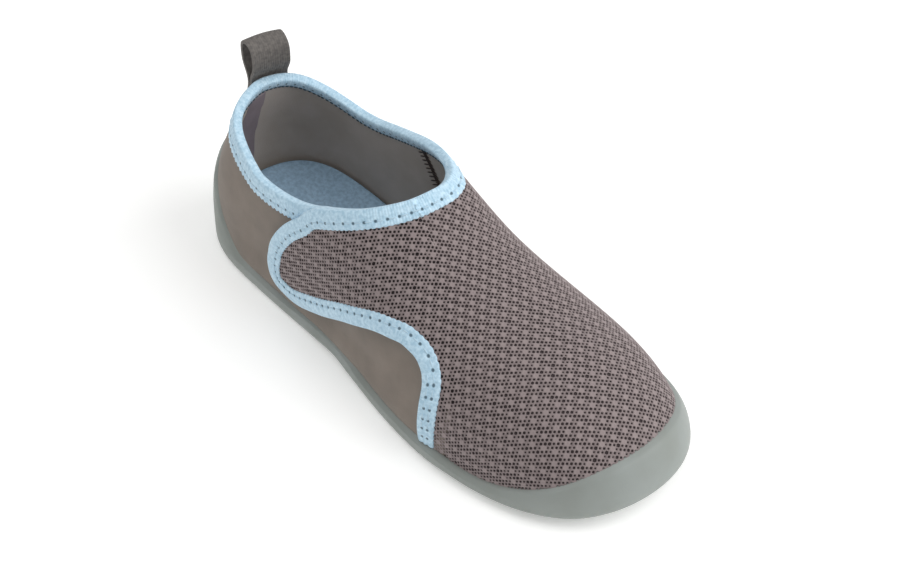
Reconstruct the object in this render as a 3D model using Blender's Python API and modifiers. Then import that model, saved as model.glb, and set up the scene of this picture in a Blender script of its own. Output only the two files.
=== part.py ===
"""A child's low water bootie for the right foot, standing empty on its sole.

The bootie is a moulded rubber cup sole with a toe bumper and a heel counter, a loose insole, one hollow
upper, a closing flap that lies over the outer side of the upper, one binding tape that wraps the collar
and the free edge of the flap, and a pull loop at the heel.

Metres, +Z up.  X runs from heel to toe and +Y points to the inner (medial) side of the foot.
"""

import math
from collections import namedtuple
from functools import lru_cache

import bmesh
import bpy
import numpy as np
from mathutils import Vector
from mathutils.bvhtree import BVHTree

# Thicknesses and clearances
WALL = 0.0020           # fabric of the upper
GAP = 0.0003            # clearance between pieces that touch
RAND_GAP = 0.0006       # the same behind the rubber wall, where it bends two ways
RAND_EASE = 0.0002      # and this much more behind its middle
PLATE = 0.0042          # rubber under the foot
RAND = 0.0020           # rubber wall round the foot, at its foot
RAND_LIP = 0.0009       # the same wall at its top edge
INSOLE = 0.0030
INSOLE_ROUND = 0.0007   # its top edge is rounded off by this much
HEEL_SEAT = 0.0030      # the insole is that much thicker under the heel
HEEL_CUP = 0.0035       # and its rim stands that much higher again
CUP_FRONT = 0.064       # the heel cup runs out here
TAPE = 0.0006           # binding tape
TAPE_OUTSIDE = 0.0055   # width of tape on the outer face
TAPE_INSIDE = 0.0028    # width of tape on the inner face
TAPE_CLEAR = 0.00015    # clearance under the tape, over the plain one
TAPE_FOLD = 0.0004      # slack in the tape where it folds over an edge
TAPE_CLOSES = 0.0006    # pitch of the rings where the tape narrows from collar to flap
FLAP = 0.0013           # mesh of the closing flap
FLAP_FRONT = 0.0004     # the flap where it runs out into the vamp
FLAP_GAP = 0.0005       # clearance under the flap at its root
FLAP_STAND = 0.0013     # space for the hook-and-loop patch under the flap

# The last: sections stand across X between these two centres, and fan out round heel and toe
HEEL_CENTRE = 0.034
TOE_CENTRE = 0.144
THROAT = 0.0890         # front of the foot opening, on the ridge
SIDE_POWER = 2.3        # how square a section is at its sides
TOP_POWER = 2.1         # how square it is at its top
HEEL_BULGE = 0.0020     # the heel swells by this much between sole and collar
HEEL_BULGE_TOP = 0.046
HEEL_TUCK = 0.0030      # and its lateral corner leans in by this much at the collar

Plan = namedtuple("Plan", "place x y")
FEATHER_LINE = (        # plan of the upper where it meets the sole
    Plan("heel back", 0.0000, 0.0010),
    Plan("heel back, lateral", 0.0056, -0.0190),
    Plan("heel, lateral", 0.0340, -0.0262),
    Plan("waist, lateral", 0.0760, -0.0288),
    Plan("ball, lateral", 0.1200, -0.0352),
    Plan("little toe", 0.1562, -0.0318),
    Plan("toe corner, lateral", 0.1782, -0.0192),
    Plan("toe tip", 0.1852, 0.0030),
    Plan("big toe", 0.1762, 0.0242),
    Plan("ball, medial", 0.1380, 0.0356),
    Plan("waist, medial", 0.0860, 0.0280),
    Plan("heel, medial", 0.0360, 0.0262),
    Plan("heel back, medial", 0.0078, 0.0180),
)

Section = namedtuple("Section", "x crown ridge")
LAST = (                # height of the arch of each section, and how far its ridge lies to the medial side
    Section(-0.006, 0.0800, 0.0000),
    Section(0.034, 0.0790, 0.0005),
    Section(0.059, 0.0720, 0.0025),
    Section(THROAT, 0.0540, 0.0050),
    Section(0.104, 0.0448, 0.0035),
    Section(0.129, 0.0345, 0.0015),
    Section(0.154, 0.0285, 0.0015),
    Section(0.190, 0.0215, 0.0020),
)

Collar = namedtuple("Collar", "x medial lateral")
COLLAR = (              # height of the collar above the feather line
    Collar(-0.006, 0.0520, 0.0520),
    Collar(0.004, 0.0505, 0.0500),
    Collar(0.016, 0.0444, 0.0450),
    Collar(0.034, 0.0400, 0.0402),
    Collar(0.054, 0.0455, 0.0418),
    Collar(0.070, 0.0505, 0.0472),
    Collar(THROAT, 0.0540, 0.0540),
)

Rand = namedtuple("Rand", "x medial lateral")
RAND_TOP = (            # height of the rubber wall above the feather line
    Rand(-0.004, 0.0338, 0.0338),
    Rand(0.004, 0.0314, 0.0314),
    Rand(0.008, 0.0212, 0.0212),
    Rand(0.012, 0.0105, 0.0105),
    Rand(0.018, 0.0052, 0.0050),
    Rand(0.030, 0.0024, 0.0020),
    Rand(0.076, 0.0014, 0.0010),
    Rand(0.130, 0.0024, 0.0011),
    Rand(0.152, 0.0050, 0.0018),
    Rand(0.164, 0.0074, 0.0046),
    Rand(0.174, 0.0100, 0.0084),
    Rand(0.182, 0.0120, 0.0116),
    Rand(0.190, 0.0130, 0.0130),
)

Edge = namedtuple("Edge", "x height")
FLAP_LEAVES = 0.0622    # where the top of the flap parts from the collar
FLAP_TOP = (            # free edge of the flap on the lateral side, from the collar to its rear end
    Edge(0.0583, 0.0397),
    Edge(0.0541, 0.0360),
    Edge(0.0494, 0.0301),
    Edge(0.0462, 0.0240),
    Edge(0.0446, 0.0155),
)
FLAP_BOTTOM = (         # and on along its lower side, up to the crest
    Edge(0.0464, 0.0088),
    Edge(0.0543, 0.0062),
    Edge(0.0702, 0.0104),
    Edge(0.0876, 0.0194),
    Edge(0.0997, 0.0248),
    Edge(0.1089, 0.0262),
)
FLAP_FOOT = (           # and down to the sole
    Edge(0.1166, 0.0245),
    Edge(0.1213, 0.0206),
    Edge(0.1233, 0.0147),
    Edge(0.1242, 0.0080),
    Edge(0.1244, 0.0036),
)
FLAP_ROOT = (           # line along which the flap runs out into the vamp, from throat to sole
    Edge(0.0960, 0.0486),
    Edge(0.1080, 0.0405),
    Edge(0.1230, 0.0310),
    Edge(0.1330, 0.0190),
    Edge(0.1345, 0.0034),
)
FLAP_BLEND = 0.0170     # the flap has its full thickness this far from its root

SoleEdge = namedtuple("SoleEdge", "inset height")
SOLE_EDGE = (           # rounded lower edge of the rubber: inset from its side, height over the tread
    SoleEdge(0.0018, 0.0000),
    SoleEdge(0.0005, 0.0009),
    SoleEdge(0.0000, 0.0026),
)
RandRing = namedtuple("RandRing", "share lip")
RAND_CROWN = (          # rounded top edge of the rubber wall: share of its height, and of its lip
    RandRing(0.96, 0.75),
    RandRing(1.00, 0.30),
)

# Underside: flat heel, low arch, flat ball, toe spring
ARCH_START, ARCH_END, ARCH_RISE = 0.048, 0.106, 0.0014
SPRING_START, SPRING_END, SPRING_RISE = 0.140, 0.188, 0.0048
FLEX_GROOVES = (0.112, 0.119, 0.126, 0.133)    # across the ball, where a soft sole bends
HEEL_GROOVES = (0.020, 0.027, 0.034)
GROOVE_WIDTH = 0.0016
GROOVE_DEPTH = 0.0012

# Pull loop of webbing at the back of the collar
LOOP_HEADING = math.radians(169)    # a little to the medial side of straight back
LOOP_WIDTH = 0.0130
LOOP_THICK = 0.0012
LOOP_RISE = 0.0146      # top of the loop above the collar
LOOP_DEPTH = 0.0090     # across the loop where it is widest, outside
LOOP_TAIL = 0.0080      # its ends reach this far below the collar edge
LOOP_FOOT = 0.0028      # and its two sides part this far below it
LOOP_PLIES = 0.0002     # clearance between the two ends
LOOP_OPENS, LOOP_OPEN = 0.15, 0.68    # shares of its height where its sides part, and are fully apart

HEEL_STATIONS = 20
OPENING_STATIONS = 13
VAMP_STATIONS = 10
TOE_STATIONS = 18
UPPER_ROWS = 10
FLAP_COLUMNS = (18, 12)    # behind and in front of the crest of its lower edge
FLAP_ROWS = 7
OUTLINE_POINTS = 720


def column(table, name):
    """One column of a table as an array."""
    return np.array([getattr(row, name) for row in table])


def along(table, name, x, key="x"):
    """Smooth value of a table's column at x: a cubic through its rows."""
    at, value = column(table, key), column(table, name)
    slope = np.gradient(value, at)
    x = min(max(x, at[0]), at[-1])
    i = min(max(int(np.searchsorted(at, x, side="right")) - 1, 0), len(at) - 2)
    span = at[i + 1] - at[i]
    t = (x - at[i]) / span
    return float(
        (1 + 2 * t) * (1 - t) ** 2 * value[i]
        + t * (1 - t) ** 2 * span * slope[i]
        + t * t * (3 - 2 * t) * value[i + 1]
        + t * t * (t - 1) * span * slope[i + 1]
    )


def smooth_step(t):
    """0 to 1 with level ends."""
    t = min(max(t, 0.0), 1.0)
    return t * t * (3 - 2 * t)


def closed_spline(points, count):
    """Points along the smooth closed curve through the given points."""
    p = np.array(points)
    n = len(p)
    after = np.roll(p, -1, axis=0)
    h = np.sqrt(np.linalg.norm(after - p, axis=1))
    matrix, right = np.zeros((n, n)), np.zeros((n, 2))
    for i in range(n):
        before, here = h[i - 1], h[i]
        matrix[i, i - 1] = 1 / before
        matrix[i, i] = 2 / before + 2 / here
        matrix[i, (i + 1) % n] = 1 / here
        right[i] = 3 * ((p[i] - p[i - 1]) / before**2 + (after[i] - p[i]) / here**2)
    slope = np.linalg.solve(matrix, right)
    curve = []
    for step in range(count):
        i, t = divmod(step * n / count, 1)
        i = int(i)
        j = (i + 1) % n
        curve.append(
            (1 + 2 * t) * (1 - t) ** 2 * p[i]
            + t * (1 - t) ** 2 * h[i] * slope[i]
            + t * t * (3 - 2 * t) * p[j]
            + t * t * (t - 1) * h[i] * slope[j]
        )
    return np.array(curve)


def open_curve(points, count):
    """Evenly spaced points along a smooth open curve through the given points."""
    p = np.array(points)
    length = np.concatenate([[0], np.cumsum(np.linalg.norm(np.diff(p, axis=0), axis=1))])
    Row = namedtuple("Row", "x a b")
    rows = [Row(s, *point) for s, point in zip(length, p)]
    return [
        (along(rows, "a", s), along(rows, "b", s))
        for s in np.linspace(0, length[-1], count)
    ]


FEATHER = closed_spline([(row.x, row.y) for row in FEATHER_LINE], OUTLINE_POINTS)

Station = namedtuple("Station", "x y dx dy reach")


@lru_cache(maxsize=None)
def station(x, dx, dy):
    """A section's plane: its foot on the middle line, its direction, and its reach to the feather line."""
    y = along(LAST, "ridge", x)
    rel = FEATHER - np.array([x, y])
    across = rel[:, 0] * dy - rel[:, 1] * dx
    reach = 0.0
    for i in range(len(rel)):
        j = (i + 1) % len(rel)
        if across[i] * across[j] <= 0 and across[i] != across[j]:
            hit = rel[i] + (rel[j] - rel[i]) * across[i] / (across[i] - across[j])
            reach = max(reach, float(hit[0] * dx + hit[1] * dy))
    return Station(x, y, dx, dy, reach)


def fan(x, start, count):
    """Stations that turn half a circle about the middle line at x, without the two end ones."""
    angles = [start + math.pi * k / count for k in range(1, count)]
    return [station(x, math.cos(a), math.sin(a)) for a in angles]


OPENING_X = [
    HEEL_CENTRE + (THROAT - HEEL_CENTRE) * math.sin(math.pi / 2 * k / OPENING_STATIONS)
    for k in range(OPENING_STATIONS + 1)
]
VAMP_X = list(np.linspace(THROAT, TOE_CENTRE, VAMP_STATIONS + 1))
LATERAL_OPENING = [station(x, 0, -1) for x in reversed(OPENING_X)]
MEDIAL_OPENING = [station(x, 0, 1) for x in OPENING_X]
HEEL_FAN = list(reversed(fan(HEEL_CENTRE, math.pi / 2, HEEL_STATIONS)))
TOE_FAN = list(reversed(fan(TOE_CENTRE, -math.pi / 2, TOE_STATIONS)))
MEDIAL_VAMP = [station(x, 0, 1) for x in VAMP_X[1:]]
LATERAL_VAMP = [station(x, 0, -1) for x in reversed(VAMP_X[1:])]
OPENING = LATERAL_OPENING + HEEL_FAN + MEDIAL_OPENING    # from throat round the heel to throat
RING = OPENING + MEDIAL_VAMP + TOE_FAN + LATERAL_VAMP    # once round the foot


def ground(x):
    """Height of the sole's underside over the floor."""
    arch = min(max((x - ARCH_START) / (ARCH_END - ARCH_START), 0.0), 1.0)
    spring = min(max((x - SPRING_START) / (SPRING_END - SPRING_START), 0.0), 1.0)
    return ARCH_RISE * math.sin(math.pi * arch) ** 2 + SPRING_RISE * spring**2


def profile(st, angle):
    """Distance from the middle line and height over the feather line, up a section's side."""
    out = st.reach * math.cos(angle) ** (2 / SIDE_POWER)
    height = along(LAST, "crown", st.x + st.dx * out) * math.sin(angle) ** (2 / TOP_POWER)
    swell = min(height / HEEL_BULGE_TOP, 1.0)
    bulge = HEEL_BULGE * max(-st.dx, 0.0) * math.sin(math.pi * swell) ** 2
    tuck = HEEL_TUCK * 2 * max(-st.dx, 0.0) * max(-st.dy, 0.0) * swell**2
    return out + bulge - tuck, height


def bare_skin(st, angle):
    """Point on the upper's outer face."""
    reach, height = profile(st, angle)
    x = st.x + st.dx * reach
    return Vector((x, st.y + st.dy * reach, ground(x) + PLATE + GAP + height))


def neighbours(st):
    """Two stations close by on either side: beside this one, or turned about the same centre."""
    if st.dx == 0:
        return station(st.x - 0.001, 0, st.dy), station(st.x + 0.001, 0, st.dy)
    heading, turn = math.atan2(st.dy, st.dx), math.radians(1.5)
    return [station(st.x, math.cos(heading + t), math.sin(heading + t)) for t in (-turn, turn)]


def skin_direction(st, angle):
    """Outward direction of the upper's face."""
    angle = min(max(angle, 0.012), math.pi / 2 - 0.03)
    up = bare_skin(st, angle + 0.01) - bare_skin(st, angle - 0.01)
    before, after = neighbours(st)
    normal = (bare_skin(after, angle) - bare_skin(before, angle)).cross(up).normalized()
    radial = Vector((st.dx, st.dy, 0.4))
    return normal if normal.dot(radial) > 0 else -normal


def skin(st, angle, out=0.0):
    """Point on the upper's outer face, or that far outside it."""
    point = bare_skin(st, angle)
    return point + skin_direction(st, angle) * out if out else point


def angle_at(st, height_of):
    """Angle up a section at which its side reaches height_of(x), or the ridge."""
    low, high = 0.0, math.pi / 2
    for _ in range(40):
        middle = (low + high) / 2
        reach, height = profile(st, middle)
        if height > height_of(st.x + st.dx * reach):
            high = middle
        else:
            low = middle
    return (low + high) / 2


def sided(table, st, x):
    """Value of a table with a medial and a lateral column, shared between them round heel and toe."""
    medial = (1 + st.dy) / 2
    return medial * along(table, "medial", x) + (1 - medial) * along(table, "lateral", x)


def collar_angle(st):
    """Angle at which a section ends: at the collar, or on the ridge in front of the throat."""
    if st.x >= THROAT:
        return math.pi / 2
    return angle_at(st, lambda x: sided(COLLAR, st, x))


def lateral(x, height, out=0.0):
    """Point on the lateral side of the upper at a height over the feather line, and the outward direction."""
    st = station(x, 0, -1)
    angle = angle_at(st, lambda _: height)
    return skin(st, angle, out), skin_direction(st, angle)


def sole_point(st, out, height):
    """Point beside the feather line, at a height over the sole's underside."""
    point = skin(st, 0.0, out)
    point.z = ground(point.x) + height
    return point


def inner_point(st, share, height, inset=0.0):
    """Point between the middle line (share 0) and the feather line (share 1), over the underside."""
    reach = (st.reach - inset) * share
    x = st.x + st.dx * reach
    return Vector((x, st.y + st.dy * reach, ground(x) + height))


def loft(rings, closed):
    """A mesh of quads through rings of points that run the same way, with equal points welded."""
    bm = bmesh.new()
    rows = [[bm.verts.new(point) for point in ring] for ring in rings]
    count = len(rows[0])
    for lower, upper in zip(rows, rows[1:]):
        for i in range(count if closed else count - 1):
            j = (i + 1) % count
            bm.faces.new((lower[i], lower[j], upper[j], upper[i]))
    bmesh.ops.remove_doubles(bm, verts=bm.verts[:], dist=1e-6)
    bmesh.ops.dissolve_degenerate(bm, edges=bm.edges[:], dist=1e-6)
    bmesh.ops.recalc_face_normals(bm, faces=bm.faces[:])
    return bm


def material(name, colour, roughness):
    """A plain finish: fabric or rubber of one colour."""
    made = bpy.data.materials.new(name)
    made.use_nodes = True
    shader = made.node_tree.nodes["Principled BSDF"]
    shader.inputs["Base Color"].default_value = (*colour, 1.0)
    shader.inputs["Roughness"].default_value = roughness
    return made


def place(bm, name, finish, parent):
    """The piece's object, from its mesh."""
    mesh = bpy.data.meshes.new(name)
    bm.to_mesh(mesh)
    bm.free()
    mesh.shade_smooth()
    mesh.set_sharp_from_angle(angle=math.radians(50))
    mesh.materials.append(finish)
    obj = bpy.data.objects.new(name, mesh)
    bpy.data.collections["water_bootie"].objects.link(obj)
    obj.parent = parent
    return obj


def thicken(obj, thickness, offset):
    """Gives an open surface its thickness: offset -1 goes inwards, 1 outwards."""
    modifier = obj.modifiers.new("wall", "SOLIDIFY")
    modifier.thickness = thickness
    modifier.offset = offset
    modifier.use_even_offset = True
    return obj


def upper_surface():
    """Outer face of the upper, from the feather line to the collar, or to the ridge of the vamp."""
    tops = [collar_angle(st) for st in RING]
    rings = []
    for row in range(UPPER_ROWS + 1):
        rings.append([skin(st, top * row / UPPER_ROWS) for st, top in zip(RING, tops)])
    return loft(rings, closed=True)


def make_outsole(finish, parent):
    """The rubber cup: tread face, rounded edge, rand with bumper and counter, and the floor inside it."""
    outer = RAND_GAP + RAND
    tops = [sided(RAND_TOP, st, st.x + st.dx * st.reach) for st in RING]

    def wall(share, thickness):
        """A ring on the rubber wall, at a share of its height."""
        return [
            skin(st, angle_at(st, lambda _, h=top * share: h), RAND_GAP + thickness)
            for st, top in zip(RING, tops)
        ]

    rings = [[inner_point(st, share, 0.0) for st in RING] for share in (0.0, 0.35, 0.7)]
    rings += [[sole_point(st, outer - edge.inset, edge.height) for st in RING] for edge in SOLE_EDGE]
    rings += [wall(share, RAND + (RAND_LIP - RAND) * share) for share in (0.15, 0.5, 0.85)]
    rings += [wall(crown.share, RAND_LIP * crown.lip) for crown in RAND_CROWN]
    rings += [wall(share, RAND_EASE) for share in (0.96, 0.77, 0.58, 0.39, 0.2)]
    rings.append([sole_point(st, RAND_GAP, PLATE) for st in RING])
    rings += [[inner_point(st, share, PLATE) for st in RING] for share in (0.7, 0.35, 0.0)]
    return place(loft(rings, closed=True), "outsole", finish, parent)


def cut_grooves(outsole):
    """Cuts the flex grooves across the tread."""
    cutters = bpy.data.collections["cutters"]
    for x in HEEL_GROOVES + FLEX_GROOVES:
        bm = bmesh.new()
        bmesh.ops.create_cube(bm, size=1.0)
        bmesh.ops.scale(bm, vec=(GROOVE_WIDTH, 0.1, 2 * GROOVE_DEPTH), verts=bm.verts[:])
        mesh = bpy.data.meshes.new("groove_cutter")
        bm.to_mesh(mesh)
        bm.free()
        cutter = bpy.data.objects.new("groove_cutter", mesh)
        cutters.objects.link(cutter)
        cutter.parent = outsole.parent
        cutter.location = (x, 0.0, ground(x))
        cutter.hide_render = True
        cutter.display_type = "WIRE"
        modifier = outsole.modifiers.new("groove", "BOOLEAN")
        modifier.operation = "DIFFERENCE"
        modifier.object = cutter


def make_insole(finish, parent):
    """A foam sheet lying on the sole inside the upper, thicker and cupped under the heel."""
    inset = WALL + 2 * GAP
    low, high = PLATE + GAP, PLATE + GAP + INSOLE

    def lift(st, share):
        """How far the top stands over the plain sheet there."""
        heel = smooth_step(1 - (st.x + st.dx * st.reach * share) / CUP_FRONT)
        return heel * (HEEL_SEAT + HEEL_CUP * smooth_step((share - 0.4) / 0.6))

    rings = [[inner_point(st, share, low, inset) for st in RING] for share in (0.0, 0.6, 1.0)]
    for drop, tuck in ((INSOLE_ROUND, 0.0), (0.0, INSOLE_ROUND)):
        rings.append([inner_point(st, 1.0, high + lift(st, 1.0) - drop, inset + tuck) for st in RING])
    for share in (0.85, 0.6, 0.3, 0.0):
        rings.append([inner_point(st, share, high + lift(st, share), inset) for st in RING])
    return place(loft(rings, closed=True), "insole", finish, parent)


def places(table):
    """A table's edge as (x, height) pairs."""
    return [(row.x, row.height) for row in table]


def flap_collar():
    """Top border of the flap where it is also the collar, from the throat back, as (x, height)."""
    span = [x for x in reversed(OPENING_X[1:-2]) if x > FLAP_LEAVES + 0.001]
    return [(x, along(COLLAR, "lateral", x)) for x in span]


def flap_free_edge():
    """Free border of the flap from the collar round to the sole, as (x, height)."""
    start = (FLAP_LEAVES, along(COLLAR, "lateral", FLAP_LEAVES))
    return open_curve([start] + places(FLAP_TOP + FLAP_BOTTOM + FLAP_FOOT), 37)


ROOT = np.array(open_curve(places(FLAP_ROOT), 60))


def flap_faces(x, height):
    """Heights of the flap's inner and outer face over the upper: thin and close at its root."""
    distance = np.linalg.norm(ROOT - np.array([x, height]), axis=1).min()
    rise = smooth_step(distance / FLAP_BLEND)
    inner = FLAP_GAP + (FLAP_STAND - FLAP_GAP) * rise
    return inner, inner + FLAP_FRONT + (FLAP - FLAP_FRONT) * rise


def make_flap(finish, parent):
    """The closing flap: a sheet of the vamp's mesh between two forms raised from the upper."""
    rear, front = FLAP_COLUMNS
    rear_end, crest = FLAP_TOP[-1:], FLAP_BOTTOM[-1:]
    leaving = [(FLAP_LEAVES, along(COLLAR, "lateral", FLAP_LEAVES))]
    upper_rear = places(FLAP_TOP[::-1]) + leaving + flap_collar()[::-1]
    low = open_curve(places(rear_end + FLAP_BOTTOM), rear) + open_curve(places(crest + FLAP_FOOT), front)[1:]
    high = open_curve(upper_rear, rear) + open_curve(places(FLAP_ROOT), front)[1:]
    inside, outside = [], []
    for row in range(FLAP_ROWS + 1):
        share = row / FLAP_ROWS
        inner_row, outer_row = [], []
        for (low_x, low_height), (high_x, high_height) in zip(low, high):
            x = low_x + (high_x - low_x) * share
            height = low_height + (high_height - low_height) * share
            inner, outer = flap_faces(x, height)
            inner_row.append(lateral(x, height, inner)[0])
            outer_row.append(lateral(x, height, outer)[0])
        inside.append(inner_row)
        outside.append(outer_row)
    bm = loft(inside + outside[::-1] + inside[:1], closed=False)
    bmesh.ops.holes_fill(bm, edges=[edge for edge in bm.edges if edge.is_boundary])
    bmesh.ops.recalc_face_normals(bm, faces=bm.faces[:])
    return place(bm, "flap", finish, parent)


Hem = namedtuple("Hem", "point normal outer inner leg")


def binding_path():
    """Places along the bound edge: the quarter's collar from under the flap, round heel and throat to the flap.

    Each gives the edge point, the outward direction, the heights of the outer and inner face of what the
    tape wraps there, and the width of tape that turns inside.
    """
    path = []
    lateral_rear = [st for st in LATERAL_OPENING if st.x < FLAP_LEAVES - 0.0015]
    for st in lateral_rear + HEEL_FAN + MEDIAL_OPENING:
        top = collar_angle(st)
        path.append(Hem(skin(st, top), skin_direction(st, top), 0.0, -WALL, TAPE_INSIDE))
    on_collar = [(x, height, TAPE_INSIDE) for x, height in flap_collar()]
    for leg in (TAPE_FOLD / 2, 0.0):
        x = on_collar[-1][0] - TAPE_CLOSES
        on_collar.append((x, along(COLLAR, "lateral", x), leg))
    for x, height, leg in on_collar:
        point, normal = lateral(x, height)
        path.append(Hem(point, normal, flap_faces(x, height)[1], -WALL, leg))
    for x, height in flap_free_edge():
        point, normal = lateral(x, height)
        inner, outer = flap_faces(x, height)
        path.append(Hem(point, normal, outer, inner, 0.0))
    return path


def tape_section(hem):
    """The tape's inner face across an edge, as (distance into the panel, height over the upper)."""
    out = hem.outer + GAP + TAPE_CLEAR
    fold = GAP + TAPE_FOLD
    legs = [(TAPE_OUTSIDE, out), (TAPE_OUTSIDE * 0.5, out), (0.0, out)]
    if hem.inner > 0:
        drop = out - hem.inner
        return legs + [(-fold, out - drop * share) for share in (0.08, 0.25, 0.45, 0.65, 0.85, 1.0)]
    inside = hem.inner - GAP
    middle = (out + inside) / 2
    legs += [(-fold, out - 0.0002), (-fold - 0.0003, middle), (-fold, inside + 0.0002)]
    if hem.leg:
        return legs + [(0.0, inside), (hem.leg * 0.5, inside), (hem.leg, inside)]
    return legs + [(-fold, inside + 0.0001), (-fold, inside), (-fold, inside - 0.0001)]


def make_binding(finish, parent, tree):
    """One elastic tape folded over the collar and the free edge of the flap."""
    path = binding_path()
    rows = []
    for i, hem in enumerate(path):
        before, after = path[max(i - 1, 0)].point, path[min(i + 1, len(path) - 1)].point
        forward = (after - before).normalized()
        inward = hem.normal.cross(forward).normalized()
        row = []
        for distance, height in tape_section(hem):
            point = hem.point + inward * distance
            if distance > 0:
                point = tree.find_nearest(point)[0]
            row.append(point + hem.normal * height)
        rows.append(row)
    tape = place(loft(rows, closed=False), "edge_binding", finish, parent)
    return thicken(tape, TAPE, 1.0)


def make_pull_loop(finish, parent, tree):
    """Webbing doubled into a loop, with its ends sewn to the back of the heel."""
    st = station(HEEL_CENTRE, math.cos(LOOP_HEADING), math.sin(LOOP_HEADING))
    away, across = Vector((st.dx, st.dy, 0)), Vector((-st.dy, st.dx, 0))
    collar = skin(st, collar_angle(st))
    lowest, foot = collar.z - LOOP_TAIL, collar.z - LOOP_FOOT
    layers = [TAPE + 3 * GAP + LOOP_THICK / 2]
    layers.append(layers[0] + LOOP_THICK + LOOP_PLIES)
    half = (LOOP_DEPTH - LOOP_THICK) / 2
    turn = collar.z + LOOP_RISE - LOOP_THICK / 2 - half

    def seat(share, z, out):
        """Point over the heel, at a share of the width and a height, that far outside the upper."""
        start = Vector((collar.x, collar.y, z)) + across * LOOP_WIDTH * share + away * LOOP_RISE
        hit, normal = tree.ray_cast(start, -away)[:2]
        return hit + away * out / abs(normal.dot(away))

    rows = []
    for share in (-0.5, -0.25, 0.0, 0.25, 0.5):
        tails = [[seat(share, lowest + (foot - lowest) * k / 3, out) for k in range(4)] for out in layers]
        middle = (tails[0][-1] + tails[1][-1]) / 2
        spread = (layers[1] - layers[0]) / 2

        def strand(side):
            """One side of the loop, from the heel to where the top turns over."""
            points = []
            for t in (0.2, 0.4, 0.6, 0.8):
                parted = smooth_step((t - LOOP_OPENS) / (LOOP_OPEN - LOOP_OPENS))
                apart = spread + (half - spread) * parted
                points.append(middle - away * side * apart + Vector((0, 0, (turn - foot) * t)))
            return points

        top = []
        for k in range(9):
            bend = math.pi * k / 8
            rise = turn - foot + half * math.sin(bend)
            top.append(middle - away * half * math.cos(bend) + Vector((0, 0, rise)))
        rows.append(tails[0] + strand(1) + top + strand(-1)[::-1] + tails[1][::-1])
    loop = place(loft(rows, closed=False), "pull_loop", finish, parent)
    return thicken(loop, LOOP_THICK, 0.0)


def main():
    for obj in list(bpy.data.objects):
        bpy.data.objects.remove(obj)
    for name in ("water_bootie", "cutters"):
        bpy.context.scene.collection.children.link(bpy.data.collections.new(name))
    root = bpy.data.objects.new("bootie", None)
    bpy.data.collections["water_bootie"].objects.link(root)

    fabric = material("stretch_fabric", (0.21, 0.18, 0.155), 0.85)
    mesh = material("knit_mesh", (0.19, 0.155, 0.155), 0.9)
    rubber = material("moulded_rubber", (0.30, 0.32, 0.31), 0.55)
    elastic = material("elastic_tape", (0.45, 0.63, 0.75), 0.8)
    foam = material("insole_foam", (0.24, 0.37, 0.50), 0.9)
    webbing = material("webbing", (0.13, 0.12, 0.115), 0.85)

    surface = upper_surface()
    tree = BVHTree.FromBMesh(surface)
    thicken(place(surface, "upper", fabric, root), WALL, -1.0)
    outsole = make_outsole(rubber, root)
    cut_grooves(outsole)
    make_insole(foam, root)
    make_flap(mesh, root)
    make_binding(elastic, root, tree)
    make_pull_loop(webbing, root, tree)

    # the origin lies on the floor under the middle of the outsole, which is the longest and widest piece
    spans = [[vertex.co[axis] for vertex in outsole.data.vertices] for axis in (0, 1)]
    root.location = [-(min(span) + max(span)) / 2 for span in spans] + [0.0]


main()
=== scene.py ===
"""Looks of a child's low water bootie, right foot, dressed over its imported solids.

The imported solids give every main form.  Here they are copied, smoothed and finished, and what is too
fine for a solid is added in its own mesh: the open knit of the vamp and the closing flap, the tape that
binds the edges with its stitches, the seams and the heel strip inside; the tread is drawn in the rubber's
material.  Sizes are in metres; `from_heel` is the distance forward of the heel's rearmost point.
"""

import logging
import math
from collections import defaultdict
from collections.abc import Callable, Iterator
from contextlib import contextmanager
from dataclasses import dataclass, field, replace
from enum import Enum

import bmesh
import bpy
import numpy as np
from mathutils import Matrix, Vector
from mathutils.bvhtree import BVHTree


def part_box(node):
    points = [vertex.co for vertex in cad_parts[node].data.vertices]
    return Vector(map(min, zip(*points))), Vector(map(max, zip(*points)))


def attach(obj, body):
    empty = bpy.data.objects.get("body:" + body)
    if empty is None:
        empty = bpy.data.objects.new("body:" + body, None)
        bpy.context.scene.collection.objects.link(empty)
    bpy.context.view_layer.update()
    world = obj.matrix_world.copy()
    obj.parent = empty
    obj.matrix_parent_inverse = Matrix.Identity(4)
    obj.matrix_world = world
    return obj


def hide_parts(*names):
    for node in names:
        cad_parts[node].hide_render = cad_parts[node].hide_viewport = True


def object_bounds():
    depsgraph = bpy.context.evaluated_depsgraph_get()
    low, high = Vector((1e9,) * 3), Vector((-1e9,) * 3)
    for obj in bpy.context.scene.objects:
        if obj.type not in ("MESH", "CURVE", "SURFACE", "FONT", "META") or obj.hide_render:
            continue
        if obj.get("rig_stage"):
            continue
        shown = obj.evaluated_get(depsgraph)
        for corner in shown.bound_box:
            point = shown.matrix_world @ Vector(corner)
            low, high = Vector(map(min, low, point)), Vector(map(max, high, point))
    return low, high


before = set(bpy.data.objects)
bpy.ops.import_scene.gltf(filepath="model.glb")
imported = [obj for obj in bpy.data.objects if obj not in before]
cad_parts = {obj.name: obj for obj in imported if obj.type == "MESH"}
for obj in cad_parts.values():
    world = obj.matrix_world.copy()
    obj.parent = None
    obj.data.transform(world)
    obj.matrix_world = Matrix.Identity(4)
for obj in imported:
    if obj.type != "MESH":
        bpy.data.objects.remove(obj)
CAD_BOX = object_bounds()
HEEL = CAD_BOX[0].x
MM = 0.001
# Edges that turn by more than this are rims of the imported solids
RIM_ANGLE = math.radians(50)
# The loop stands a little to the medial side of straight back
LOOP_HEADING = math.radians(169)
# Flat coordinate of what is not in the knit's cloth
OFF_CLOTH = -1.0
# Rays towards the shoe start this far out
FAR_OUT = 70 * MM
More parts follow.
